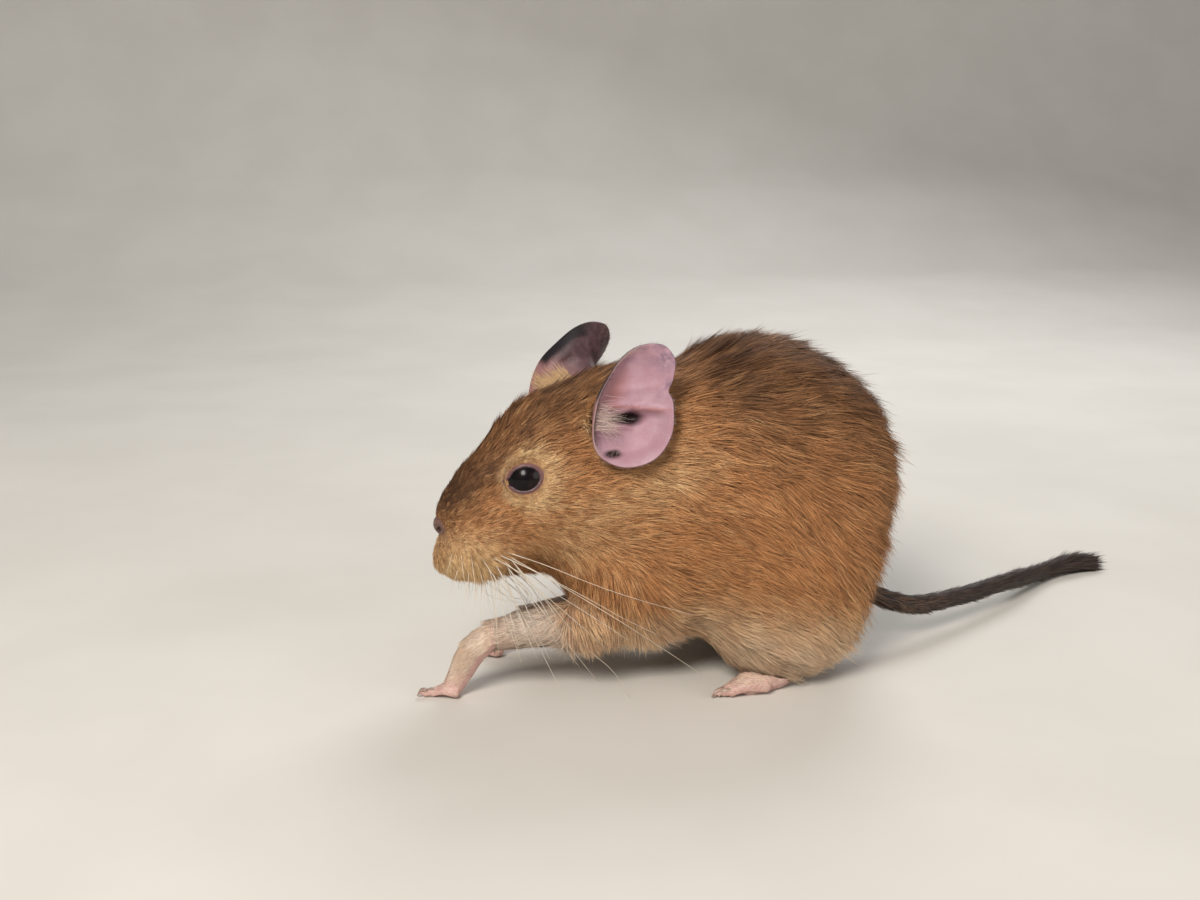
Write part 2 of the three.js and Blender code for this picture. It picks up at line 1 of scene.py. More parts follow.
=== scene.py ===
# A degu at life size, as a still model: its skin, coat, eyes, ears, feet, tail and whiskers.
# Places are in millimetres in the animal's own frame, and a mesh is made in metres in the CAD frame.
import math

import bmesh
import bpy
import numpy as np
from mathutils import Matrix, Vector
from mathutils.bvhtree import BVHTree
from mathutils.kdtree import KDTree


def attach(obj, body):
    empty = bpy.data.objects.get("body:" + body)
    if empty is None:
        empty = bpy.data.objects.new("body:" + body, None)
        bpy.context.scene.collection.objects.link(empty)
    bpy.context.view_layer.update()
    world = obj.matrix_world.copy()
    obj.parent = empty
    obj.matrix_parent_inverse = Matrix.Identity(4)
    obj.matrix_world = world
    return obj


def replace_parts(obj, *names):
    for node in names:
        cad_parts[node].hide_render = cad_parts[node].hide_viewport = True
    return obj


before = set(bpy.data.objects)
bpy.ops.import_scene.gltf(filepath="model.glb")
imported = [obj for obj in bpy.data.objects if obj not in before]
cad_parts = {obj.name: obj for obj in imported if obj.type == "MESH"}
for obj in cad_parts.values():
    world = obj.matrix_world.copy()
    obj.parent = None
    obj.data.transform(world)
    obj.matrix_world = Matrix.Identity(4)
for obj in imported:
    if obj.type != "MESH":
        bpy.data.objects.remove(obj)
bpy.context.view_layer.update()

# View
# The camera stands a third of a metre off the animal's left side, a little above it, looking down.
# Its place and lens are those of the photograph.
MM = 0.001
ORIGIN = np.array([30.4, 10.9, 0.0])
CAMERA_AT = np.array([-85.5, -339.3, 133.9])
CAMERA_PITCH = 12.9
CAMERA_YAW = 10.0

scene = bpy.context.scene
camera = bpy.data.objects.new("camera", bpy.data.cameras.new("camera"))
camera.data.lens = 43.83
camera.data.sensor_width = 36
camera.location = (CAMERA_AT - ORIGIN) * MM
camera.rotation_euler = (math.radians(90 - CAMERA_PITCH), 0, math.radians(-CAMERA_YAW))
camera.data.clip_start = 0.01
scene.collection.objects.link(camera)
scene.camera = camera
scene.view_settings.view_transform = "Standard"

# Skin
# The skin under the coat, in one piece over the head, neck, trunk, thighs and forelegs.
# The CAD nodes of the flesh and the eyes are fused and smoothed, and drawn in by the depth of the coat.
HEAD_AT = np.array([-25.0, -2.0, 59.0])
HEAD_YAW = 9
HEAD_PITCH = 30
EYE_AT = np.array([-22.3, 9.1, 5.5])
EYE_OUT = np.array([-0.25, 0.92, 0.3])
EYE_LONG = np.array([-0.92, -0.27, 0.28])
EYE_RADIUS = 5.2
LID_HALF = (3.35, 2.65)
EAR_AT = {"left": [3.4, 17.6, 6.9], "right": [1.6, 17.2, 9.0]}
EAR_OUT = {"left": [-0.2, 0.92, 0.3], "right": [-0.16, 0.92, 0.41]}
EAR_RAISE = {"left": 34, "right": 22}
ARMS = {
    "left": [
        [-17, -12, 22, 8.5], [-29, -15, 18, 7.3], [-42, -15.2, 16.4, 5.3], [-54.5, -14.5, 14.6, 4.1]
    ],
    "right": [[-15, 12, 17, 7], [-24, 14, 12, 6], [-33, 13.5, 9.8, 4.8], [-43, 12.5, 8.8, 3.9]],
}
SIGNS = {"left": -1, "right": 1}
FLESH = ["torso", "neck", "head", "thigh_left", "thigh_right", "foreleg_left", "foreleg_right"]
COAT_DEPTH = 0.29
SKIN_GRID, SKIN_SWELL = 0.62, 0.22


def unit(vectors):
    vectors = np.asarray(vectors, float)
    return vectors / np.maximum(np.linalg.norm(vectors, axis=-1, keepdims=True), 1e-9)


def dot(a, b):
    return (a * b).sum(-1, keepdims=True)


def laid(ways, normals):
    """The ways turned to lie in the surface"""
    return unit(ways - normals * dot(ways, normals))


def smooth(value, low, high):
    t = np.clip((value - low) / (high - low), 0, 1)
    return t * t * (3 - 2 * t)


def lerp(a, b, t):
    return a + (b - a) * t


def face_ways(places, faces):
    a, b, c = (places[faces[:, i]] for i in range(3))
    return unit(np.cross(b - a, c - a))


def turned(pitch, yaw):
    p, y = math.radians(-pitch), math.radians(yaw)
    tip = np.array([[math.cos(p), 0, math.sin(p)], [0, 1, 0], [-math.sin(p), 0, math.cos(p)]])
    swing = np.array([[math.cos(y), -math.sin(y), 0], [math.sin(y), math.cos(y), 0], [0, 0, 1]])
    return swing @ tip


HEAD_TURN = turned(HEAD_PITCH, HEAD_YAW)


def from_head(places):
    return np.asarray(places, float) @ HEAD_TURN.T + HEAD_AT


def into_head(places):
    return (np.asarray(places, float) - HEAD_AT) @ HEAD_TURN


def mirrored(vector, sign):
    return np.array(vector, float) * [1, sign, 1]


def eye_frame(sign):
    """The middle of an eye in the head's frame, and the ways along, across and out of its opening"""
    middle, long, out = mirrored(EYE_AT, sign), mirrored(EYE_LONG, sign), unit(mirrored(EYE_OUT, sign))
    long = unit(long - out * (long @ out))
    return middle, long, np.cross(long, out), out


def blob(places, at, half):
    """A soft patch round a place in the head's frame, on both sides: 1 at its middle and 0 far off"""
    h = into_head(places)
    gaps = np.stack([h[:, 0], np.abs(h[:, 1]), h[:, 2]], 1) - at
    return np.exp(-((gaps / half) ** 2).sum(1))


def eye_distance(places):
    eyes = [from_head(mirrored(EYE_AT, sign) + unit(mirrored(EYE_OUT, sign)) * 4) for sign in (-1, 1)]
    return np.min([np.linalg.norm(places - eye, axis=1) for eye in eyes], axis=0)


def ear_distance(places):
    ears = [from_head(mirrored(EAR_AT[side], sign)) for side, sign in SIGNS.items()]
    return np.min([np.linalg.norm(places - ear, axis=1) for ear in ears], axis=0)


def ear_gap(side, places):
    """The way out of an ear's canal, and how far places are from the canal along that way and off it"""
    out = unit(mirrored(EAR_OUT[side], SIGNS[side]))
    gap = into_head(places) - mirrored(EAR_AT[side], SIGNS[side])
    rise = gap @ out
    return out, rise, np.linalg.norm(gap - rise[:, None] * out, axis=1)


def on_arm(places):
    """How much each place is on a foreleg: 0 off it, and 1 on the half that is clear of the chest"""
    best = np.zeros(len(places))
    for spots in ARMS.values():
        spots = np.array(spots, float)
        for k, (a, b) in enumerate(zip(spots[:-1], spots[1:])):
            span = b[:3] - a[:3]
            t = np.clip((places - a[:3]) @ span / (span @ span), 0, 1)
            gap = np.linalg.norm(places - (a[:3] + t[:, None] * span), axis=1)
            near = 1 - smooth(gap / lerp(a[3], b[3], t), 1.05, 1.5)
            best = np.maximum(best, near * smooth(k + t, 1.3, 2.2))
    return best * (1 - smooth(places[:, 2], 22, 28))


def coat_length(places):
    """The length of the hair in millimetres at places on the body"""
    h = into_head(places)
    head = lerp(1.5, 3.6, smooth(h[:, 0], -46, -30))
    head = lerp(head, 6.0, smooth(h[:, 0], -28, 4))
    length = lerp(head, 10.0, smooth(h[:, 0], 4, 30))
    length += 2.6 * blob(places, [-44, 8, -9], [8, 12, 6])
    chest = smooth(-h[:, 2], 17, 25) * (1 - smooth(places[:, 0], -16, 0))
    length = lerp(length, lerp(4.5, 7.2, smooth(places[:, 0], -42, -28)), chest)
    length *= lerp(0.42, 1.0, smooth(eye_distance(places), 4.5, 9))
    ahead_of_ear = smooth(1.5 - h[:, 0], 3, 7) * smooth(h[:, 2], -6, 2)
    length *= lerp(0.4, 1.0, np.maximum(smooth(ear_distance(places), 7, 12), ahead_of_ear))
    length = lerp(length, lerp(3.6, 2.6, smooth(-places[:, 0], 36, 52)), on_arm(places))
    foot = (1 - smooth(places[:, 2], 1, 9)) * smooth(places[:, 0], -14, 0)
    return lerp(length, 4.5, foot)


def node_mesh(name, nodes, voxel, rounds, swell=0.0):
    """One mesh fused from CAD nodes by a fine grid, then smoothed: its places, normals and triangles"""
    soup = bmesh.new()
    for node in nodes:
        soup.from_mesh(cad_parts[node].data)
    bmesh.ops.remove_doubles(soup, verts=soup.verts, dist=1e-6)
    soup.normal_update()
    for vert in soup.verts:
        vert.co += vert.normal * swell * MM
    mesh = bpy.data.meshes.new(name)
    soup.to_mesh(mesh)
    soup.free()
    obj = bpy.data.objects.new(name, mesh)
    scene.collection.objects.link(obj)
    grid = obj.modifiers.new("grid", "REMESH")
    grid.mode = "VOXEL"
    grid.voxel_size = voxel * MM
    soften = obj.modifiers.new("soften", "SMOOTH")
    soften.factor = 0.5
    soften.iterations = rounds
    made = bpy.data.meshes.new_from_object(obj.evaluated_get(bpy.context.evaluated_depsgraph_get()))
    bpy.data.objects.remove(obj)
    bpy.data.meshes.remove(mesh)
    arrays = arrays_of(made)
    bpy.data.meshes.remove(made)
    return arrays


def arrays_of(mesh):
    places = np.empty(len(mesh.vertices) * 3, np.float32)
    mesh.vertices.foreach_get("co", places)
    normals = np.empty(len(mesh.vertices) * 3, np.float32)
    mesh.vertices.foreach_get("normal", normals)
    mesh.calc_loop_triangles()
    triangles = np.empty(len(mesh.loop_triangles) * 3, np.int32)
    mesh.loop_triangles.foreach_get("vertices", triangles)
    places, normals, triangles = (values.reshape(-1, 3) for values in (places, normals, triangles))
    return places / MM + ORIGIN, normals.astype(float), triangles


def make_piece(name, places, triangles, paint, slot, normals=None, numbers=None, corners=None):
    """A piece that rides on the animal, with named values at its points and corners for its OFBake map"""
    mesh = bpy.data.meshes.new(name)
    mesh.vertices.add(len(places))
    mesh.vertices.foreach_set("co", ((places - ORIGIN) * MM).astype(np.float32).ravel())
    mesh.loops.add(triangles.size)
    mesh.loops.foreach_set("vertex_index", triangles.astype(np.int32).ravel())
    mesh.polygons.add(len(triangles))
    mesh.polygons.foreach_set("loop_start", np.arange(0, triangles.size, 3, dtype=np.int32))
    mesh.polygons.foreach_set("use_smooth", np.ones(len(triangles), bool))
    mesh.update(calc_edges=True)
    for key, values in (numbers or {}).items():
        mesh.attributes.new(key, "FLOAT", "POINT").data.foreach_set("value", values.astype(np.float32))
    if corners is not None:
        mesh.uv_layers.new(name="OFBake").data.foreach_set("uv", corners.astype(np.float32).ravel())
    if normals is not None:
        mesh.normals_split_custom_set_from_vertices(normals.astype(np.float32))
    mesh.materials.append(paint)
    obj = bpy.data.objects.new(name, mesh)
    scene.collection.objects.link(obj)
    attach(obj, "root")
    return obj


def unwrapped(places, normals):
    """Where places lie on an unwrap of the body: six charts, one for each way that its surface can face"""
    low, span = np.array([-75.0, -45.0, -5.0]), 130.0
    axis = np.abs(normals).argmax(1)
    ahead = np.take_along_axis(normals, axis[:, None], 1)[:, 0] > 0
    shares = (places - low) / span
    across = np.where(axis == 0, shares[:, 1], shares[:, 0])
    up = np.where(axis == 2, shares[:, 1], shares[:, 2])
    chart = axis * 2 + ahead
    return np.stack([(chart % 3 + 0.01 + across * 0.98) / 3, (chart // 3 + 0.01 + up * 0.98) / 2], 1)


def markings(places):
    """How pale, how dark and how white the coat and the skin are at places, each from 0 to 1"""
    h = into_head(places)
    trunk = smooth(h[:, 0], 8, 26)
    low = 1 - smooth(places[:, 2], 9, 34)
    pale = 1.25 * blob(places, [-45, 6, -5.5], [8.5, 30, 6.8])
    pale += 0.75 * np.exp(-(((eye_distance(places) - 5.8) / 2.4) ** 2))
    pale += 0.55 * blob(places, [-20, 15, -10], [15, 9, 8])
    pale += 0.8 * blob(places, [-5, 15, 8], [3.5, 5, 7])
    pale += 0.6 * blob(places, [4, 18, -9], [11, 9, 6])
    pale += 0.95 * low
    dark = 0.7 * smooth(h[:, 2], 4, 14) * (1 - smooth(np.abs(h[:, 1]), 7, 15)) * (1 - trunk)
    dark += 0.7 * blob(places, [-39, 3, 9], [10, 9, 6])
    # The coat darkens up the back and towards the rump: partly its own darker colour there, partly painted
    # shade over the top of the back and the rump
    dark += trunk * (0.95 * smooth(places[:, 2], 47, 78) + 0.5 * smooth(places[:, 0], 18, 48))
    dark *= 1 - 0.8 * np.clip(pale, 0, 1)
    ahead = 1 - smooth(places[:, 0], 20, 40)
    white = 0.95 * on_arm(places) + 0.55 * (1 - smooth(places[:, 2], 6, 28)) * ahead
    return [np.clip(value, 0, 1) for value in (pale, dark, white)]


def new_paint(name, roughness, specular=0.5):
    paint = bpy.data.materials.new(name)
    paint.use_nodes = True
    shader = paint.node_tree.nodes["Principled BSDF"]
    shader.inputs["Roughness"].default_value = roughness
    shader.inputs["Specular IOR Level"].default_value = specular
    return paint, paint.node_tree, shader


def plug(tree, socket, value):
    if isinstance(value, bpy.types.NodeSocket):
        tree.links.new(value, socket)
    elif isinstance(value, tuple):
        socket.default_value = (*value, 1)
    else:
        socket.default_value = value


def coloured(tree, shader, colour):
    plug(tree, shader.inputs["Base Color"], colour)


def mixed(tree, share, a, b):
    node = tree.nodes.new("ShaderNodeMix")
    node.data_type = "RGBA"
    plug(tree, node.inputs[0], share)
    plug(tree, node.inputs[6], a)
    plug(tree, node.inputs[7], b)
    return node.outputs[2]


def number(tree, name):
    node = tree.nodes.new("ShaderNodeAttribute")
    node.attribute_name = name
    return node.outputs["Fac"]


def spread(tree, value, low, high, start=0.0, end=1.0):
    node = tree.nodes.new("ShaderNodeMapRange")
    node.interpolation_type = "SMOOTHSTEP"
    plug(tree, node.inputs["Value"], value)
    for key, size in (("From Min", low), ("From Max", high), ("To Min", start), ("To Max", end)):
        node.inputs[key].default_value = size
    return node.outputs["Result"]


def times(tree, a, b):
    node = tree.nodes.new("ShaderNodeMath")
    node.operation = "MULTIPLY"
    plug(tree, node.inputs[0], a)
    plug(tree, node.inputs[1], b)
    return node.outputs[0]


def noise(tree, size, detail=3.0):
    """Soft noise with lumps of about this size in millimetres"""
    where = tree.nodes.new("ShaderNodeTexCoord").outputs["Object"]
    node = tree.nodes.new("ShaderNodeTexNoise")
    node.inputs["Scale"].default_value = 1 / (size * MM)
    node.inputs["Detail"].default_value = detail
    tree.links.new(where, node.inputs["Vector"])
    return node.outputs["Fac"]


def mottled(tree, size, low, high, a, b, most=1.0, detail=3.0):
    """A colour with soft patches of another, of about this size in millimetres and at most this strong"""
    return mixed(tree, spread(tree, noise(tree, size, detail), low, high, 0, most), a, b)


def bumped(tree, shader, height, depth):
    node = tree.nodes.new("ShaderNodeBump")
    node.inputs["Distance"].default_value = depth * MM
    tree.links.new(height, node.inputs["Height"])
    tree.links.new(node.outputs[0], shader.inputs["Normal"])


BAND = (0.48, 0.212, 0.080)
PALE = (0.68, 0.46, 0.235)
WHITE = (0.68, 0.56, 0.46)
DARK = (0.10, 0.045, 0.020)
UNDERCOAT = (0.10, 0.055, 0.034)
TIPPED = (0.04, 0.02, 0.012)


def coat_colour(tree):
    band = mixed(tree, number(tree, "pale"), BAND, PALE)
    band = mixed(tree, number(tree, "dark"), band, DARK)
    return mixed(tree, number(tree, "white"), band, WHITE)


skin_paint, tree, shader = new_paint("skin_coat", 0.8, 0.2)
under = mixed(tree, spread(tree, number(tree, "pale"), 0, 1, 0.55, 0.2), coat_colour(tree), UNDERCOAT)
coloured(tree, shader, mottled(tree, 1.2, 0.3, 0.7, under, UNDERCOAT, 0.5))
bumped(tree, shader, noise(tree, 0.5), 0.5)

skin, skin_normals, skin_faces = node_mesh(
    "skin", [*FLESH, "eye_left", "eye_right"], SKIN_GRID, 5, SKIN_SWELL
)
skin = skin - skin_normals * (COAT_DEPTH * coat_length(skin))[:, None]
for sign in SIGNS.values():
    # Round the eye the skin lies on the ball, and stays under it in the opening of the lids
    middle, long, short, out = eye_frame(sign)
    gap = into_head(skin) - middle
    opening = np.hypot((gap @ long) / LID_HALF[0], (gap @ short) / LID_HALF[1])
    opening = np.where(gap @ out > 0, opening, 9)
    reach = np.linalg.norm(gap, axis=1)
    under, over = np.minimum(reach, EYE_RADIUS - 0.7), np.maximum(reach, EYE_RADIUS + 0.3)
    wanted = lerp(under, over, smooth(opening, 1.1, 1.4))
    near = reach < EYE_RADIUS + 3
    skin[near] = from_head((middle + gap * (wanted / reach)[:, None])[near])

for side in SIGNS:
    # Under each ear it makes room for the canal
    out, rise, away = ear_gap(side, skin)
    sunk = np.minimum(rise, lerp(-6.5, rise, smooth(away, 4.5, 8.5)))
    near = (away < 8.5) & (rise > -12)
    skin[near] = from_head((into_head(skin) + (sunk - rise)[:, None] * out)[near])

pale, dark, white = markings(skin)
face_normals = face_ways(skin, skin_faces)
corner_map = unwrapped(skin[skin_faces].reshape(-1, 3), face_normals.repeat(3, 0))
body_skin = make_piece(
    "skin", skin, skin_faces, skin_paint, "coat",
    numbers={"pale": pale, "dark": dark, "white": white},
    corners=corner_map,
)
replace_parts(body_skin, *FLESH)
skin_tree = BVHTree.FromPolygons(skin.tolist(), skin_faces.tolist())


def skin_at(place):
    """The nearest place on the skin, and its normal"""
    found, normal, _, _ = skin_tree.find_nearest(Vector(place))
    return np.array(found), np.array(normal)


# Coat
# Agouti fur that lies back over the body: dark at the root, orange brown above, often dark-tipped.
# Flat tapered blades, rooted on the skin and drawn together in small locks, stand for a few hairs each.
COAT_SEED = 11
GUARD_SHARE = 0.07
HAIRS_PER_LOCK, HAIRS_PER_TUFT = 13, 150
TRIANGLES_PER_PIECE = 195000

coat_paint, tree, shader = new_paint("coat", 0.7, 0.25)
luck = number(tree, "luck")
along = number(tree, "along")
band = mixed(tree, spread(tree, noise(tree, 9, 2), 0.35, 0.7, 0, 0.25), coat_colour(tree), BAND)
deep = times(
    tree, spread(tree, along, 0.0, 0.42, 1, 0), spread(tree, number(tree, "pale"), 0, 1, 1, 0.35)
)
deep = times(tree, deep, spread(tree, number(tree, "white"), 0.2, 0.9, 1, 0.25))
colour = mixed(tree, deep, band, UNDERCOAT)
tipped = times(tree, spread(tree, along, 0.5, 0.9), spread(tree, luck, 0.28, 0.36, 0.75, 0.0))
tipped = times(tree, tipped, spread(tree, number(tree, "pale"), 0.2, 0.9, 1.0, 0.1))
tipped = times(tree, tipped, spread(tree, number(tree, "white"), 0.2, 0.9, 1.0, 0.05))
colour = mixed(tree, tipped, colour, TIPPED)
shade = tree.nodes.new("ShaderNodeHueSaturation")
tree.links.new(colour, shade.inputs["Color"])
tree.links.new(spread(tree, luck, 0.0, 1.0, 0.72, 1.25), shade.inputs["Value"])
tree.links.new(shade.outputs[0], shader.inputs["Base Color"])


def scattered(places, normals, faces, density, rng):
    """Random places on a mesh, so many to a square mm: the face each is on, its place and its normal"""
    a, b, c = (places[faces[:, i]] for i in range(3))
    area = np.linalg.norm(np.cross(b - a, c - a), axis=1) / 2
    wanted = area * density
    count = np.floor(wanted + rng.random(len(faces))).astype(int)
    which = np.repeat(np.arange(len(faces)), count)
    r, s = rng.random(len(which)), rng.random(len(which))
    r = np.sqrt(r)
    share = np.stack([1 - r, r * (1 - s), r * s], 1)[..., None]
    at = (places[faces[which]] * share).sum(1)
    out = unit((normals[faces[which]] * share).sum(1))
    return which, at, out


def lie_of_coat(places, normals):
    """The way that the hair lies: back from the nose, down the flanks and out along the legs"""
    h = into_head(places)
    back, up = HEAD_TURN[:, 0], HEAD_TURN[:, 2]
    on_head = 1 - smooth(h[:, 0], 0, 24)
    low = smooth(np.abs(h[:, 1]), 3, 14)
    cheek = back + np.outer(low, [0, 0, -0.55])
    pad = blob(places, [-45, 6, -6], [8, 12, 7.5])
    cheek = cheek - up * (1.5 * pad)[:, None] + np.sign(h[:, 1:2]) * HEAD_TURN[:, 1] * (0.5 * pad)[:, None]
    fall = lerp(1.25, 0.12, smooth(places[:, 2], 22, 74))
    flank = np.stack([np.ones(len(places)), np.zeros(len(places)), -fall], 1)
    way = lerp(flank, cheek, on_head[:, None])
    chest = smooth(-places[:, 0], 8, 24) * (1 - smooth(places[:, 2], 26, 44))
    way = lerp(way, np.array([0.1, 0, -1.0]), (0.85 * chest)[:, None])
    way = lerp(way, np.array([-1.0, 0, -0.25]), on_arm(places)[:, None])
    x, z = places[:, 0], places[:, 2]
    swirl = 0.09 * np.sin(0.21 * x + 0.17 * z) + 0.05 * np.sin(0.5 * x - 0.43 * z)
    way = laid(way, normals)
    return unit(way + np.cross(normals, way) * swirl[:, None])


def gathered(roots, ways, lengths, rng, every, pull, sway):
    """How far each tip moves towards the tip of its lock, with one lock to every so many hairs"""
    leads = rng.choice(len(roots), max(len(roots) // every, 1), replace=False)
    tips = roots + ways * lengths[:, None]
    finder = KDTree(len(leads))
    for i, place in enumerate(roots[leads].tolist()):
        finder.insert(place, i)
    finder.balance()
    mine = np.array([finder.find(place)[1] for place in roots.tolist()])
    lean = rng.normal(0, sway, (len(leads), 3))[mine] * lengths[:, None]
    strength = pull * rng.uniform(0.4, 1.2, len(roots))
    return (tips[leads][mine] - tips) * strength[:, None] + lean, mine, leads


def blades(
    name, roots, normals, ways, lengths, widths, lifts, shifts, rng, slot, paint, numbers,
    charts=None, steps=3,
):
    """Pieces of joined blades, each of which slants off the skin, bends back to it and ends in a point"""
    count = len(roots)
    spots = {2: [0, 0.5, 1], 3: [0, 0.36, 0.72, 1]}[steps]
    girths = {2: [0.8, 0.85, 0], 3: [0.75, 1.0, 0.7, 0]}[steps]
    side = np.cross(normals, ways)
    roll = rng.normal(0, 0.42, count)[:, None]
    side = unit(side * np.cos(roll) + np.cross(ways, side) * np.sin(roll))
    points, faces_out, shares, across = [], [], [], []
    for t, girth in zip(spots, girths):
        middle = roots + ways * (lengths * t)[:, None] + shifts * t * t
        middle = middle + normals * (lengths * lifts * (t - 0.42 * t * t))[:, None]
        half = side * (widths * girth / 2)[:, None]
        for sign in (-1, 1) if t < 1 else (0,):
            points.append(middle + half * sign)
            faces_out.append(unit(normals + side * 0.45 * sign))
            shares.append(np.full(count, t))
            across.append(np.full(count, float(sign)))
    per = len(points)
    points = np.stack(points, 1)
    points[..., 2] = np.maximum(points[..., 2], 0.06)
    pattern = [(2 * k, 2 * k + 3, 2 * k + 1) for k in range(steps - 1)]
    pattern += [(2 * k, 2 * k + 2, 2 * k + 3) for k in range(steps - 1)]
    pattern += [(per - 3, per - 1, per - 2)]
    pattern = np.array(pattern)
    shading, shares, across = np.stack(faces_out, 1), np.stack(shares, 1), np.stack(across, 1)
    charts = unwrapped(roots, normals) if charts is None else charts
    patch = charts[:, None, :] + np.stack([across * 0.0015, (shares - 0.5) * 0.003], 2)
    each = TRIANGLES_PER_PIECE // len(pattern)
    for start in range(0, count, each):
        part = slice(start, min(start + each, count))
        size = part.stop - part.start
        faces = (np.arange(size)[:, None, None] * per + pattern[None]).reshape(-1, 3)
        values = {key: np.repeat(value[part], per) for key, value in numbers.items()}
        values["along"] = shares[part].ravel()
        make_piece(
            f"{name}_{start // each + 1}", points[part].reshape(-1, 3), faces, paint, slot,
            normals=shading[part].reshape(-1, 3), numbers=values,
            corners=patch[part].reshape(-1, 2)[faces.ravel()],
        )


rng = np.random.default_rng(COAT_SEED)
density = 9.2 + 26 / coat_length(skin[skin_faces].mean(1)) ** 1.2
density *= lerp(1.5, 1.0, smooth(into_head(skin[skin_faces].mean(1))[:, 0], -42, -28))
which, roots, root_normals = scattered(skin, skin_normals, skin_faces, density, rng)
bare = np.linalg.norm((into_head(roots) - [-45.0, 0, 3.6]) / [2.6, 2.5, 2.2], axis=1) < 1
for sign in SIGNS.values():
    middle, long, short, out = eye_frame(sign)
    gap = into_head(roots) - middle
    inside = np.hypot((gap @ long) / LID_HALF[0], (gap @ short) / LID_HALF[1])
    to_nose = smooth((gap @ long) / LID_HALF[0] / np.maximum(inside, 0.1), 0.5, 1.0)
    bare |= (inside < 1.2 + 0.45 * to_nose) & (gap @ out > 0)
for side in SIGNS:
    _, rise, away = ear_gap(side, roots)
    bare |= (away < 6.2) & (rise > -12)
order = np.argsort(roots[:, 0])
order = order[~bare[order]]
which, roots, root_normals = which[order], roots[order] - root_normals[order] * 0.15, root_normals[order]
count = len(roots)
lengths = coat_length(roots) * rng.uniform(0.7, 1.12, count)
guard = (rng.random(count) < GUARD_SHARE) & (lengths > 4.5)
lengths = lengths * np.where(guard, rng.uniform(1.12, 1.4, count), 1)
ways = laid(unit(lie_of_coat(roots, root_normals) + rng.normal(0, 0.13, (count, 3))), root_normals)
charts = unwrapped(roots, face_normals[which])
pale, dark, white = markings(roots)
lifts = np.clip(rng.normal(0.36, 0.09, count), 0.12, 0.7) + np.where(guard, 0.03, 0)
lifts = lifts * lerp(0.75, 1.0, smooth(lengths, 2, 6)) * lerp(1.0, 0.45, smooth(roots[:, 2], 68, 79))
small, lock, leads = gathered(roots, ways, lengths, rng, HAIRS_PER_LOCK, 0.5, 0.05)
large, _, _ = gathered(roots, ways, lengths, rng, HAIRS_PER_TUFT, 0.05, 0.08)
shade_of_lock = rng.normal(0, 0.18, len(leads))[lock]
pale = np.clip(pale + shade_of_lock * 0.8, 0, 1)
dark = np.clip(dark - shade_of_lock + 0.03, 0, 1)
luck = np.where(guard, rng.uniform(0.2, 1, count), rng.random(count))
widths = (0.086 + 0.0066 * lengths) * np.where(guard, 0.85, 1)
fine = (lengths < 5) | (rng.random(count) < 0.45)
looks = {"pale": pale, "dark": dark, "white": white, "luck": luck}
for title, chosen, steps in (("coat_short", fine, 2), ("coat_long", ~fine, 3)):
    shape = [value[chosen] for value in (roots, root_normals, ways, lengths, widths, lifts, small + large)]
    values = {key: value[chosen] for key, value in looks.items()}
    blades(title, *shape, rng, "coat", coat_paint, values, charts[chosen], steps)

# Eyes
# Large, black and wet, with a rim of bare dark lids drawn to a corner towards the nose.
# Each eye is a ball with a raised cornea, and the lids are a soft ring that lies on it.
eye_paint, tree, shader = new_paint("eye", 0.19, 0.17)
coloured(tree, shader, mottled(tree, 2.5, 0.4, 0.8, (0.004, 0.003, 0.004), (0.016, 0.008, 0.006)))
lid_paint, tree, shader = new_paint("lids", 0.38, 0.5)
bare = mixed(tree, number(tree, "outer"), (0.028, 0.012, 0.016), (0.25, 0.115, 0.105))
coloured(tree, shader, mottled(tree, 0.8, 0.35, 0.65, bare, (0.14, 0.06, 0.065), 0.5))
bumped(tree, shader, noise(tree, 0.35), 0.12)


def loop_faces(rings, around, closed=False):
    """Triangles of a sheet of rings of points, each ring closed on itself"""
    i = np.arange(rings if closed else rings - 1)[:, None]
    j = np.arange(around)[None]
    a, b = i * around + j, i * around + (j + 1) % around
    c, d = ((i + 1) % rings) * around + j, ((i + 1) % rings) * around + (j + 1) % around
    return np.concatenate([np.stack(corners, -1).reshape(-1, 3) for corners in ([a, c, b], [b, c, d])])


def closed_faces(rings, around):
    """The same with a fan at each end, to its tip: the two tips are the points after the rings"""
    j, last = np.arange(around), rings * around
    after = (j + 1) % around
    first_fan = np.stack([np.full(around, last), j, after], 1)
    last_fan = np.stack([np.full(around, last + 1), last - around + after, last - around + j], 1)
    return np.concatenate([loop_faces(rings, around), first_fan, last_fan])


